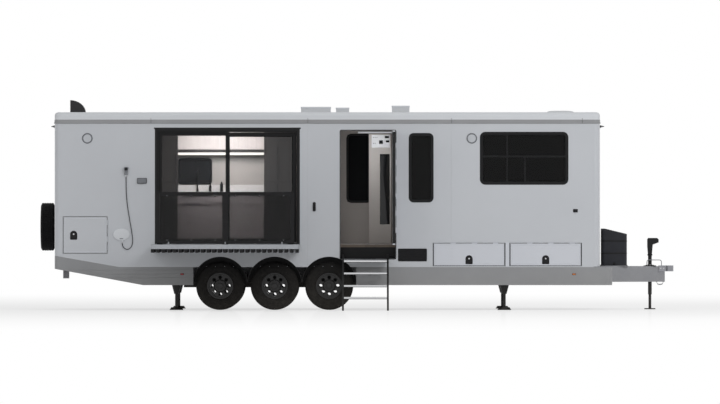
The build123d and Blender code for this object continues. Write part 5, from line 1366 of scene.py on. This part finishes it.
@dataclass
class Patio(Assembly):
    """Trims of the wide side opening, its sliding door, the fold-down deck and the railing."""

    opening: tuple[float, float, float, float] = (-8.328, -5.909, 1.1, 3.032)
    deck: tuple[float, float, float, float] = (-8.362, -5.914, -3.2445, -1.325)
    deck_top: float = 1.103
    boards: int = 14
    rail: tuple[float, float, float, float] = (-8.27, -5.99, 1.115, 1.977)
    rail_y: float = -3.1495

    def build(self) -> None:
        """Trims the opening, the deck and the railing."""
        x0, x1, z0, _ = self.opening
        plane, w, h = over(Side.NEAR, self.opening)
        frame = bezel(
            plane, w + 0.012, h + 0.012, 0.01,
            [(0, -0.001), (0, 0.003), (0.004, 0.0045), (0.03, 0.0045), (0.034, 0.001), (0.034, -0.001)])
        self.add("patio_outer_trim", frame, "black_trim")
        hood = run(
            side_plane(Side.NEAR),
            [
                (3.036, -0.001), (3.034, 0.008), (3.038, 0.0095), (3.044, 0.006), (3.056, 0.003),
                (3.058, -0.001)],
            x0 - 0.02, x1 + 0.02)
        self.add("patio_drip_hood", hood, "black_trim")
        tracks = [box((x0 + 0.05, x1 - 0.05), (y - 0.004, y + 0.004), (z0 + 0.02, z0 + 0.03), 0.001)
                  for y in (-1.2305, -1.1945)]
        self.add("slider_tracks", merge(tracks), "bright_steel")
        self.sliding_door()
        self.deck_boards()
        self.railing()

    def sliding_door(self) -> None:
        """A pull with a bent grip, and glazing beads of one section round the pane."""
        plane = axis_plane((-6.5575, -1.2095, 2.048), "-Y")
        beads = bezel(plane, 1.066, 1.732, 0.006, [(0, -0.001), (0, 0.003), (0.006, 0.004), (0.012, -0.001)])
        self.add("slider_beads", beads, "seal_rubber", "slider")
        pull = box((-6.012, -5.98), (-1.1795, -1.1685), (2.01, 2.27), 0.004)
        path = [
            (-5.996, -1.175, 2.03), (-5.996, -1.146, 2.05), (-5.996, -1.141, 2.09), (-5.996, -1.141, 2.19),
            (-5.996, -1.146, 2.23), (-5.996, -1.175, 2.25)]
        grip = tube(np.array(path), 0.007, 12)
        self.add("slider_pull", pull.joined(grip), "black_trim", "slider", 50)

    def deck_boards(self) -> None:
        """Ribbed boards along the deck: a wave of square ribs across each, as one long section per board."""
        x0, x1, y0, y1 = self.deck
        inset = 0.045
        y = np.linspace(y0 + inset, y1 - 0.04, self.boards + 1)
        wide = y[1] - y[0]
        ribs = 6
        boards = []
        for start in y[:-1]:
            edges = start + 0.003 + (wide - 0.006) * np.arange(ribs * 2 + 1) / (ribs * 2 + 1)
            step = (wide - 0.006) / (ribs * 2 + 1)
            line = [(start + 0.003, -0.001)]
            for k, e in enumerate(edges):
                h = 0.0028 if k % 2 == 0 else 0.0012
                line += [(e, h), (e + step, h)]
            line.append((start + wide - 0.003, -0.001))
            boards.append(run(axis_plane((0, 0, self.deck_top), "+Z"), line, x0 + inset, x1 - inset))
        self.add("deck_boards", merge(boards), "deck", "deck")
        lip = run(axis_plane((0, 0, self.deck_top), "+Z"),
                  [(y0 + 0.001, -0.001), (y0 + 0.001, 0.001), (y0 + 0.004, 0.003), (y0 + 0.034, 0.003),
                   (y0 + 0.038, -0.001)], x0 + 0.002, x1 - 0.002)
        bolts = [bolt(axis_plane((x, y0 + 0.019, self.deck_top + 0.003), "+Z"), 0.006, 0.003)
                 for x in np.linspace(x0 + 0.1, x1 - 0.1, 9)]
        self.add("deck_edge_lip", lip, "galvanised", "deck")
        self.add("deck_edge_bolts", merge(bolts), "bright_steel", "deck")

    def railing(self) -> None:
        """Clamps that hold the panels: small pads on both faces of the bars, each with a screw."""
        x0, x1, z0, z1 = self.rail
        xs = [
            x
            for a, b in ((x0 + 0.055, -7.177), (-7.082, x1 - 0.055))
            for x in np.linspace(a + 0.12, b - 0.12, 3)]
        pads, screws = [], []
        for x in xs:
            for z in (z0 + 0.062, z1 - 0.062):
                pads.append(
                    box(
                        (x - 0.02, x + 0.02), (self.rail_y - 0.0115, self.rail_y + 0.0115),
                        (z - 0.018, z + 0.018), 0.003))
                screws.append(dome(axis_plane((x, self.rail_y - 0.0115, z), "-Y"), 0.005, 0.002, 10))
        self.add("railing_clamps", merge(pads), "black_trim", "railing")
        self.add("railing_screws", merge(screws), "bright_steel", "railing")
        feet = [box((x - 0.05, x + 0.05), (self.rail_y - 0.045, self.rail_y + 0.045), (1.106, 1.1145), 0.003)
                for x in (-8.215, -7.13, -6.045)]
        self.add("railing_feet", merge(feet), "black_trim", "deck")


@dataclass
class Entry(Assembly):
    """Edge, gasket, plate and lock of the entry door, nosings and grips of the steps, and the doorway."""

    leaf: tuple[float, float, float] = (-4.309, -2.2285, -1.3155)
    leaf_z: tuple[float, float] = (1.096, 3.003)
    glass: tuple[float, float, float, float] = (-2.0385, -1.5055, 2.02, 2.813)
    treads: tuple[tuple[float, float, float], ...] = (
        (0.831, -1.575, -1.335), (0.629, -1.805, -1.565), (0.422, -2.04, -1.8), (0.225, -2.265, -2.025))
    stringers: tuple[float, float] = (-5.164, -4.447)

    def build(self) -> None:
        """Makes the door's trims, the steps' nosings and the doorway's frame."""
        xb, y0, y1 = self.leaf
        z0, z1 = self.leaf_z
        edge = bezel(
            axis_plane((xb, (y0 + y1) / 2, (z0 + z1) / 2), "+X"), y1 - y0 + 0.002, z1 - z0 + 0.002, 0.03,
            [
                (0, 0.0), (0.001, 0.002), (0.02, 0.002), (0.022, -0.001), (0.002, -0.001), (0.002, -0.0425),
                (0, -0.0425)])
        self.add("entry_door_edge", edge, "black_trim", "door")
        g0, g1, h0, h1 = self.glass
        gasket = bezel(
            axis_plane((xb, (g0 + g1) / 2, (h0 + h1) / 2), "+X"), g1 - g0 + 0.03, h1 - h0 + 0.03,
            0.03, [(0, -0.001), (0, 0.003), (0.004, 0.005), (0.024, 0.005), (0.03, -0.001)])
        self.add("entry_door_gasket", gasket, "seal_rubber", "door")
        plate = slab(axis_plane((xb, y0 + 0.085, 1.82), "+X"), 0.052, 0.16, 0.014,
                     [(0, -0.001), (0, 0.006), (0.004, 0.009)])
        lock = lathe(axis_plane((xb + 0.009, y0 + 0.085, 1.765), "+X"),
                     [(0.012, -0.001), (0.012, 0.003), (0.01, 0.0045), (0.003, 0.0045)], 20)
        self.add("entry_door_plate", plate, "black_trim", "door")
        self.add("entry_door_lock", lock, "bright_steel", "door")
        self.steps()
        self.doorway()

    def steps(self) -> None:
        """Aluminium nosings with rounded fronts, and grip strips of small ribs on each tread."""
        x0, x1 = self.stringers
        nosings, grips = [], []
        for z, y0, y1 in self.treads:
            plane = axis_plane((0, 0, z), "+Z")
            nosing = [
                (y0 - 0.002, -0.028), (y0 - 0.004, -0.026), (y0 - 0.004, -0.002), (y0 - 0.001, 0.0015),
                (y0 + 0.03, 0.0015), (y0 + 0.032, -0.0005), (y0, -0.0005), (y0, -0.028)]
            nosings.append(run(plane, nosing, x0 + 0.001, x1 - 0.001))
            for y in np.arange(y0 + 0.055, y1 - 0.03, 0.028):
                rib = [(y - 0.006, -0.0005), (y - 0.0045, 0.0012), (y + 0.0045, 0.0012), (y + 0.006, -0.0005)]
                grips.append(run(plane, rib, x0 + 0.03, x1 - 0.03))
        self.add("step_nosings", merge(nosings), "bright_steel", "steps")
        self.add("step_grips", merge(grips), "seal_rubber", "steps")

    def doorway(self) -> None:
        """A seal round the opening, a light bar in its head and a threshold plate."""
        plane = side_plane(Side.NEAR, -4.7615, 1.934)
        seal = bezel(
            plane, 0.949, 2.174, 0.03,
            [(0, -0.001), (0, 0.003), (0.003, 0.0045), (0.008, 0.0045), (0.011, 0.002), (0.011, -0.001)])
        self.add("doorway_seal", seal, "seal_rubber")
        bar = box((-4.93, -4.36), (-1.242, -1.224), (2.962, 2.992), 0.005)
        self.add("doorway_lamp", bar, "clear_lens")
        plate = box((-5.2, -4.33), (-1.246, -1.19), (1.1, 1.1035), 0.0015)
        ribs = [
            box((-5.19, -4.34), (y - 0.002, y + 0.002), (1.103, 1.1055), 0.0008)
            for y in (-1.237, -1.224, -1.211, -1.198)]
        self.add("threshold", plate.joined(*ribs), "bright_steel")


@dataclass
class Kitchen(Assembly):
    """Fronts, handles, light, sink and tap of the galley on the far wall, and the tall cupboards' fronts."""

    bays: tuple[float, ...] = (-7.99, -7.353, -6.937, -6.522)
    base_face: float = 0.658
    wall_face: float = 0.947
    tall: tuple[tuple[float, float], ...] = ((-8.28, -7.99), (-6.522, -5.986))
    tall_face: float = 0.637
    tall_pulls: tuple[tuple[float, float, float], ...] = (
        (-6.29, 2.2, 2.74), (-6.29, 1.5, 2.1), (-8.02, 2.2, 2.6))
    counter_top: float = 1.983
    sink_x: float = -7.658
    thick: float = 0.012

    def front(self, x0: float, x1: float, y: float, z0: float, z1: float) -> Surface:
        """A front that stands off the carcass: a slab with eased edges facing the room."""
        plane = axis_plane(((x0 + x1) / 2, y, (z0 + z1) / 2), "-Y")
        return slab(
            plane, x1 - x0 - 0.006, z1 - z0 - 0.006, 0.003,
            [(0, -0.001), (0, self.thick - 0.002), (0.002, self.thick)])

    def build(self) -> None:
        """Makes the fronts in three rows, then what stands on the counter."""
        pairs = list(zip(self.bays[:-1], self.bays[1:]))
        base = [
            self.front(a, b, self.base_face, z0, z1)
            for a, b in pairs
            for z0, z1 in ((1.19, 1.78), (1.78, 1.935))]
        wall = [self.front(a, b, self.wall_face, 2.702, 2.964) for a, b in pairs]
        self.add("kitchen_fronts", merge(base + wall), "cabinet")
        talls = [self.front(a + 0.004, b - 0.004, self.tall_face, z0, z1) for a, b in self.tall
                 for z0, z1 in ((1.19, 2.15), (2.15, 3.025))]
        self.add("tall_fronts", merge(talls), "dark_cabinet")
        y = self.tall_face - self.thick
        pulls = []
        for x, z0, z1 in self.tall_pulls:
            path = [
                (x, y, z0), (x, y - 0.026, z0 + 0.012), (x, y - 0.028, z0 + 0.03), (x, y - 0.028, z1 - 0.03),
                (x, y - 0.026, z1 - 0.012), (x, y, z1)]
            pulls.append(tube(np.array(path), 0.006, 10))
        self.add("tall_pulls", merge(pulls), "black_trim", sharp=60)
        rails = [
            box(
                (a + 0.08, b - 0.08), (self.base_face - 0.026, self.base_face - 0.011),
                (z - 0.004, z + 0.004), 0.002)
            for a, b in pairs
            for z in (1.765, 1.92)]
        self.add("base_pulls", merge(rails), "black_trim")
        light = box((-7.985, -6.527), (0.949, 0.961), (2.608, 2.65), 0.003)
        valance = box((-7.985, -6.527), (0.953, 0.972), (2.606, 2.7), 0.003)
        self.add("cupboard_light", light, "strip_light")
        self.add("cupboard_valance", valance, "dark_cabinet")
        splash = box((-7.99, -6.522), (1.2475, 1.2565), (1.984, 2.1), 0.002)
        self.add("backsplash", splash, "worktop")
        self.sink()

    def sink(self) -> None:
        """A pressed rim on the counter round a dished bowl, and a tap bent over it."""
        plane = axis_plane((self.sink_x, 0.95, self.counter_top), "+Z")
        levels = [(0, -0.001), (0, 0.002), (0.003, 0.003), (0.02, 0.003), (0.026, 0.0005), (0.04, 0.0003)]
        self.add("sink", slab(plane, 0.5, 0.4, 0.06, levels), "bright_steel")
        x, y, z = self.sink_x, 1.18, self.counter_top
        t = np.linspace(math.pi, 0.15, 12)
        arc = np.column_stack(
            [np.full(12, x), y - 0.075 + 0.075 * np.cos(t), z + 0.27 + 0.075 * np.sin(t)])[::-1]
        path = np.concatenate([[(x, y, z), (x, y, z + 0.14)], arc])
        neck = tube(path, 0.011, 14)
        base = lathe(
            axis_plane((x, y, z), "+Z"),
            [(0.026, -0.001), (0.026, 0.006), (0.018, 0.01), (0.016, 0.06), (0.012, 0.064)], 24)
        self.add("tap", neck.joined(base), "black_trim", sharp=60)
        cans = [
            lathe(
                axis_plane((cx, 1.16, self.counter_top), "+Z"),
                [(r, 0), (r, h), (r * 0.6, h + 0.012), (r * 0.4, h + 0.04), (r * 0.35, h + 0.042)], 24)
            for cx, r, h in ((-7.44, 0.022, 0.1), (-7.25, 0.028, 0.13))]
        self.add("dispensers", merge(cans), "black_trim", sharp=60)


@dataclass
class Interior(Assembly):
    """Ceiling with its lights, pleated blinds, and the cabinet that faces the entry."""

    ceiling_z: tuple[float, float] = (3.132, 3.148)
    cabinet_face: float = -0.1
    lights: tuple[tuple[float, float], ...] = (
        (-7.6, -0.3), (-6.9, -0.3), (-6.2, -0.3), (-4.85, -0.5), (-3.4, 0.0))

    def build(self) -> None:
        """Makes the ceiling, the blinds and the entry cabinet's face."""
        for name, x0, x1 in (
                ("rear", -9.975, -8.425), ("lounge", -8.385, -4.265), ("bedroom", -4.225, -0.915)):
            panel = box((x0, x1), (-1.255, 1.255), self.ceiling_z, 0.004)
            self.add(f"ceiling_{name}", panel, "inner_wall")
        spots = [
            lathe(
                axis_plane((x, y, self.ceiling_z[0]), "-Z"),
                [(0.045, -0.001), (0.045, 0.004), (0.036, 0.006), (0.034, 0.003), (0.01, 0.003)], 32)
            for x, y in self.lights]
        self.add("ceiling_spots", merge(spots), "spot_light")
        for window in WINDOWS:
            self.blind(window)
        self.entry_cabinet()

    def blind(self, window: Window) -> None:
        """A shut blind: a round-cornered frame, and pleats as a zigzag section carried across."""
        x0, x1, z0, z1 = window.limits
        s = window.side.value
        w, h = x1 - x0, z1 - z0
        plane = Plane3(((x0 + x1) / 2, s * (HALF_WIDTH - WALL), (z0 + z1) / 2), (s, 0, 0), (0, 0, 1))
        frame = bezel(
            plane, w + 0.024, h + 0.024, window.radius + 0.012,
            [(0, -0.001), (0, 0.014), (0.004, 0.018), (0.03, 0.018), (0.034, 0.012), (0.034, -0.001)])
        self.add(f"blind_frame_{window.name}", frame, "black_trim")
        n = 2 * int(h / 0.04) + 1
        v = np.linspace(-h / 2 + 0.006, h / 2 - 0.006, n)
        fold = 0.004 + 0.004 * (np.arange(n) % 2)
        section = np.concatenate([np.column_stack([v, fold]), np.column_stack([v, fold - 0.0015])[::-1]])
        self.add(f"blind_cloth_{window.name}", run(plane, section, -w / 2 + 0.006, w / 2 - 0.006), "blind")

    def on_face(self, x0: float, x1: float, z0: float, z1: float, radius: float,
                levels: Sequence[tuple[float, float]]) -> Surface:
        """A slab on the cabinet's face toward the entry."""
        plane = axis_plane(((x0 + x1) / 2, self.cabinet_face, (z0 + z1) / 2), "-Y")
        return slab(plane, x1 - x0, z1 - z0, radius, levels)

    def entry_cabinet(self) -> None:
        """The cabinet's face across the entry, its panel with blank dark screens, and the tall mirror."""
        face = self.on_face(-4.742, -4.371, 1.11, 2.95, 0.004, [(0, -0.001), (0, 0.006), (0.002, 0.008)])
        self.add("entry_cabinet_face", face, "pale_board")
        panel = self.on_face(-4.7, -4.392, 2.725, 2.945, 0.01, [(0, 0.007), (0, 0.014), (0.003, 0.017)])
        self.add("control_panel", panel, "white_plastic")
        screens = [
            self.on_face(*limits, 0.004, [(0, 0.016), (0, 0.0185), (0.002, 0.0195)])
            for limits in (
                (-4.478, -4.406, 2.885, 2.925), (-4.46, -4.402, 2.815, 2.85), (-4.575, -4.51, 2.79, 2.85))]
        self.add("panel_screens", merge(screens), "screen")
        knobs = [
            lathe(axis_plane((x, -0.117, z), "-Y"), [(0.008, -0.001), (0.008, 0.004), (0.006, 0.006)], 16)
            for x, z in ((-4.67, 2.9), (-4.64, 2.9), (-4.61, 2.9), (-4.67, 2.8), (-4.64, 2.8))]
        self.add("panel_buttons", merge(knobs), "grey_plastic")
        mirror = self.on_face(-4.56, -4.396, 1.433, 2.62, 0.006, [(0, 0.007), (0, 0.011), (0.003, 0.012)])
        self.add("entry_mirror", mirror, "screen")


@dataclass
class Tongue(Assembly):
    """Details of the jack, the coupler, the hoop, the safety chain and the gas bottle cover."""

    cover: tuple[float, float, float] = (-0.6095, 0.427, 0.64)
    belts: tuple[float, float] = (0.932, 1.14)

    def build(self) -> None:
        """Dresses everything ahead of the body."""
        x, length, width = self.cover
        plane = axis_plane((x, 0, 0), "+Z")
        ribs = [
            bezel(
                plane, length, width, 0.05,
                [(0.001, z), (-0.003, z + 0.002), (-0.003, z + 0.022), (0.001, z + 0.024)])
            for z in self.belts]
        self.add("gas_cover_belts", merge(ribs), "black_trim")
        foot = bezel(
            plane, length, width, 0.05,
            [(0.002, 0.738), (-0.010, 0.738), (-0.010, 0.744), (-0.004, 0.752), (0.002, 0.752)])
        self.add("gas_cover_foot", foot, "black_plastic")
        catches = [
            box((x - 0.02, x + 0.02), sorted((s * 0.3195, s * 0.334)), (0.752, 0.79), 0.004) for s in (-1, 1)]
        self.add("gas_cover_catches", merge(catches), "black_trim")
        collar = lathe(
            axis_plane((0, 0, 0), "+Z"), [(0.034, 0.905), (0.043, 0.908), (0.044, 0.925), (0.036, 0.93)], 32,
            True)
        flange = lathe(
            axis_plane((0, 0, 0), "+Z"),
            [(0.033, 0.737), (0.075, 0.737), (0.077, 0.741), (0.075, 0.746), (0.036, 0.748), (0.034, 0.76)],
            32, True)
        bolts = [bolt(axis_plane((0.058 * math.cos(a), 0.058 * math.sin(a), 0.746), "+Z"), 0.009, 0.008)
                 for a in (0.5, 2.6, 4.7)]
        seam = [
            lathe(
                axis_plane((0, 0, z), "+Z"),
                [(0.0325, -0.004), (0.035, -0.003), (0.035, 0.003), (0.0325, 0.004)], 32, True)
            for z in (0.34, 0.62)]
        self.add("jack_collar", collar.joined(flange, *seam), "jack")
        self.add("jack_bolts", merge(bolts), "bright_steel")
        pins = [
            lathe(
                axis_plane((px, -0.0815, pz), "-Y"),
                [(0.011, -0.004), (0.011, 0.006), (0.008, 0.008), (0.003, 0.008)], 16)
            for px, pz in ((0.18, 0.69), (0.23, 0.69))]
        self.add("coupler_pins", merge(pins), "bright_steel")
        bar = np.array(
            [
                (-0.052, 0.735), (-0.052, 0.805), (-0.04, 0.824), (-0.02, 0.832), (0.16, 0.832),
                (0.182, 0.824), (0.194, 0.805), (0.194, 0.715)])
        hoop = tube(np.column_stack([bar[:, 0], np.full(len(bar), -0.068), bar[:, 1]]), 0.007, 12)
        self.add("tongue_hoop", hoop, "galvanised")
        self.chain()

    def chain(self) -> None:
        """Links along a hanging curve, each an oval ring turned a right angle from the last."""
        n = 11
        s = np.linspace(-1, 1, n)
        x = 0.1685 + 0.0565 * s
        z = 0.418 + 0.043 * s ** 4 + 0.004 * s ** 2
        t = np.arange(14) * 2 * math.pi / 14
        links = []
        for y in (-0.055, 0.055):
            spine = np.column_stack([x, np.full(n, y), z])
            d = np.gradient(spine, axis=0)
            d /= np.linalg.norm(d, axis=1, keepdims=True)
            for k in range(n):
                across = np.array([0.0, 1.0, 0.0]) if k % 2 else np.cross(d[k], [0.0, 1.0, 0.0])
                ring = spine[k] + 0.0105 * np.cos(t)[:, None] * d[k] + 0.007 * np.sin(t)[:, None] * across
                links.append(tube(ring, 0.0024, 6, True))
            for k in (0, n - 1):
                eye = spine[k] + np.array([0, 0, 0.004])
                links.append(tube(np.stack([eye, eye + (0, 0, 0.012)]), 0.004, 8))
        self.add("safety_chain", merge(links), "galvanised", sharp=60)


@dataclass
class RoofAndTail(Assembly):
    """Flanges, lids and screws of the roof housings, a low roof vent, and the lamps and bolts at the tail."""

    housings: tuple[tuple[float, float, float, float], ...] = (
        (-5.89, -5.39, 0.25, 3.415), (-5.3, -5.08, 0.11, 3.403), (-4.357, -4.062, 0.148, 3.435))

    def build(self) -> None:
        """Makes a flange, a lid and screws for each housing, then the rest."""
        flanges, lids, screws = [], [], []
        for x0, x1, half, top in self.housings:
            plane = axis_plane(((x0 + x1) / 2, 0, ROOF_TOP), "+Z")
            w, d = x1 - x0, 2 * half
            flanges.append(
                bezel(
                    plane, w + 0.05, d + 0.05, 0.03,
                    [(0, -0.001), (0, 0.002), (0.006, 0.004), (0.026, 0.006), (0.026, -0.001)]))
            lid = bezel(
                plane, w, d, 0.012,
                [
                    (0.002, top - ROOF_TOP - 0.026), (-0.005, top - ROOF_TOP - 0.026),
                    (-0.006, top - ROOF_TOP - 0.006), (-0.002, top - ROOF_TOP),
                    (0.006, top - ROOF_TOP + 0.0005), (0.01, top - ROOF_TOP - 0.002)])
            lids.append(lid)
            screws += [dome(axis_plane((x, y, ROOF_TOP + 0.003), "+Z"), 0.005, 0.003, 8)
                       for x in np.linspace(x0, x1, 4) for y in (-half - 0.015, half + 0.015)]
        self.add("roof_sealant", merge(flanges), "sealant")
        self.add("roof_lids", merge(lids), "white_plastic")
        self.add("roof_screws", merge(screws), "bright_steel")
        vent = axis_plane((-1.514, 0, ROOF_TOP), "+Z")
        self.add(
            "roof_vent",
            slab(
                vent, 0.462, 0.46, 0.06,
                [
                    (0, -0.001), (0, 0.008), (0.006, 0.012), (0.012, 0.012), (0.014, 0.02), (0.06, 0.032),
                    (0.15, 0.036)]),
            "roof_plastic")
        strip = box((REAR_X - 0.012, REAR_X + 0.001), (-0.62, 0.62), (1.81, 1.944), 0.006)
        lens = [
            box((REAR_X - 0.016, REAR_X - 0.01), (a, b), (1.84, 1.914), 0.004)
            for a, b in ((-0.58, -0.34), (0.34, 0.58))]
        self.add("tail_strip", strip, "black_plastic")
        self.add("tail_lamps", merge(lens), "red_lens")
        bolts = [
            bolt(
                axis_plane((-10.2165, 0.075 * math.cos(a), SPARE_CENTRE[2] + 0.075 * math.sin(a)), "-X"),
                0.011, 0.012)
            for a in (math.pi / 2, math.pi * 7 / 6, math.pi * 11 / 6)]
        self.add("spare_bolts", merge(bolts), "bright_steel")


@dataclass
class ShowerStation(Assembly):
    """The outside shower: hinged box, handset with its spray face, and the hose between them."""

    box_centre: tuple[float, float] = (-8.894, 1.266)
    box_size: tuple[float, float] = (0.272, 0.2)
    route: tuple[tuple[float, float], ...] = (
        (-8.816, 2.263), (-8.816, 2.11), (-8.812, 1.945), (-8.797, 1.78), (-8.773, 1.612), (-8.744, 1.445),
        (-8.718, 1.29), (-8.703, 1.15), (-8.722, 1.056), (-8.79, 1.006), (-8.858, 1.04), (-8.881, 1.1),
        (-8.881, 1.141))
    hose_y: float = -1.3075
    hose_radius: float = 0.0065
    length: float = 1.468

    def build(self) -> None:
        """Makes the hose first, then the handset and the box's lid."""
        curve = bpy.data.curves.new("hose", "CURVE")
        curve.dimensions = "3D"
        spline = curve.splines.new("NURBS")
        spline.points.add(len(self.route) - 1)
        points = np.array([(x, self.hose_y, z, 1.0) for x, z in self.route])
        spline.points.foreach_set("co", points.ravel())
        spline.order_u = 3
        spline.use_endpoint_u = True
        spline.resolution_u = 10
        curve.bevel_depth = self.hose_radius
        curve.bevel_resolution = 4
        hose = put("hose", curve)
        curve.materials.append(self.materials["hose"])
        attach(hose, "trailer")
        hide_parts("shower_hose")
        self.made.append("hose")
        self.handset()
        self.lid()

    def handset(self) -> list[bpy.types.Object]:
        """A grip whose rounded section swells to a head, its spray face, and the hose's end fittings."""
        t = np.linspace(0, 1, 12)
        z = 2.263 + 0.134 * t
        wide = 0.052 + 0.026 * np.clip((t - 0.45) / 0.35, 0, 1) ** 2 - 0.02 * np.clip((t - 0.9) / 0.1, 0, 1)
        deep = 0.026 + 0.02 * np.clip((t - 0.4) / 0.4, 0, 1) - 0.014 * np.clip((t - 0.9) / 0.1, 0, 1)
        rings = [lifted(round_rect(w, d, min(w, d) * 0.45), h) for w, d, h in zip(wide, deep, z)]
        body = loft(axis_plane((-8.816, -1.323, 0), "+Z").place(np.stack(rings)))
        grip = self.add("handset", body, "grey_plastic", sharp=50)
        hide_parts("shower_handset")
        face = lathe(
            axis_plane((-8.816, -1.346, 2.362), "-Y"),
            [(0.026, -0.004), (0.026, 0.001), (0.022, 0.003), (0.02, 0.0015), (0.004, 0.0015)], 28)
        spray = self.add("spray_face", face, "black_plastic")
        cradle = box((-8.842, -8.79), (-1.311, -1.2945), (2.27, 2.33), 0.004)
        self.add("handset_cradle", cradle, "black_plastic")
        ferrule = lathe(
            axis_plane((-8.816, self.hose_y, 2.245), "+Z"),
            [(0.008, -0.012), (0.0105, -0.006), (0.0105, 0.018), (0.009, 0.022)], 20)
        end = self.add("hose_ferrule", ferrule, "bright_steel")
        gland = lathe(
            axis_plane((-8.881, self.hose_y, 1.128), "+Z"),
            [(0.0075, -0.006), (0.011, 0.0), (0.011, 0.012), (0.0125, 0.014)], 20)
        self.add("hose_gland", gland, "bright_steel")
        return [grip, spray, end]

    def lid(self) -> None:
        """An oval lid on the box, as rings of an ellipse drawn in as they rise, with a finger pull."""
        (x, z), (w, h) = self.box_centre, self.box_size
        t = np.arange(56) * 2 * math.pi / 56
        levels = (
            (1.0, 0.0205), (1.0, 0.0225), (0.97, 0.0245), (0.9, 0.0255), (0.86, 0.0245), (0.82, 0.0255),
            (0.5, 0.0265))
        rings = [
            np.column_stack([w * 0.47 * k * np.cos(t), h * 0.45 * k * np.sin(t), np.full(56, d)])
            for k, d in levels]
        self.add(
            "shower_lid", loft(side_plane(Side.NEAR, x, z).place(np.stack(rings))), "white_plastic", sharp=50)
        pull = box(
            (x - 0.03, x + 0.03), (-HALF_WIDTH - 0.03, -HALF_WIDTH - 0.022), (z - 0.075, z - 0.063), 0.003)
        self.add("shower_lid_pull", pull, "grey_plastic")


@dataclass
class Bed(Assembly):
    """The bed's mattress, crowned and quilted."""

    limits: tuple[float, float, float, float, float, float] = (-2.9, -1.4, -0.76, 0.76, 1.52, 1.74)

    def build(self) -> None:
        """A crowned block: sides bulge as sin of the height, and the top crowns under a shallow quilt."""
        x0, x1, y0, y1, z0, z1 = self.limits
        lx, ly, h = x1 - x0, y1 - y0, z1 - z0
        t = np.linspace(0, 1, 25)
        angle = (1 - np.cos(math.pi * t)) / 2
        u, v = np.meshgrid(angle * 2 - 1, angle * 2 - 1, indexing="ij")
        rim = 1 - np.maximum(np.abs(u), np.abs(v)) ** 10
        quilt = 0.004 * np.cos(u * 9 * math.pi) * np.cos(v * 9 * math.pi) * rim
        x = (x0 + x1) / 2 + u * (lx / 2 - 0.012)
        y = (y0 + y1) / 2 + v * (ly / 2 - 0.012)
        top = np.stack([x, y, z1 - 0.02 + 0.012 * rim + quilt], -1)
        bottom = np.stack([x, y, np.full_like(x, z0 + 0.002)], -1)
        edge = np.concatenate([top[:-1, 0], top[-1, :-1], top[:0:-1, -1], top[0, :0:-1]])
        k = np.linspace(0, 1, 9)[:, None]
        drop = edge[:, 2] - (z0 + 0.002)
        centre = np.array([(x0 + x1) / 2, (y0 + y1) / 2])
        away = edge[:, :2] - centre
        away = np.sign(away) * (np.abs(away) > np.array([lx, ly]) / 2 - 0.02)
        bulge = 0.011 * np.sin(math.pi * k)
        wall = np.stack(
            [edge[:, 0] + away[:, 0] * bulge, edge[:, 1] + away[:, 1] * bulge, edge[:, 2] - drop * k], -1)
        grid = quads(25, 25, False, False)
        form = Surface(top.reshape(-1, 3), grid).joined(
            Surface(bottom.reshape(-1, 3), grid), loft(wall, (False, False)))
        made = self.add("mattress_pad", form, "fabric", sharp=60)
        face_out(made.data, 0.0005)
        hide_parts("mattress")


ASSEMBLIES = (
    ShowerStation, Tyres, WheelFasteners, BodyTrim, WallFittings, WindowTrim, LuggageDoors, Patio, Entry,
    Kitchen, Interior, Tongue, RoofAndTail, Bed)


def dress(frame: dict, materials: Materials) -> None:
    """Gives each CAD node its finish."""
    for finish, names in DRESS.items():
        for name in names.split():
            node = frame["nodes"][name]
            node.data.materials.clear()
            node.data.materials.append(materials[finish])


def main() -> None:
    """Builds every sub-assembly round the frame and reports its pieces."""
    logging.basicConfig(level=logging.INFO, format="%(message)s")
    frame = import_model()
    groups = Groups()
    materials = {finish.name: finish.make(groups) for finish in FINISHES}
    dress(frame, materials)
    Studio().build()
    slots = frozenset(entry["slot"] for entry in frame["record"]["materials"])
    for kind in ASSEMBLIES:
        built = kind(materials, slots)
        built.build()
        LOG.info("%s: %s", kind.__name__, ", ".join(built.made))
    scene = bpy.context.scene
    scene.view_settings.view_transform = "Standard"
    bpy.context.view_layer.update()


if __name__ == "__main__":
    main()
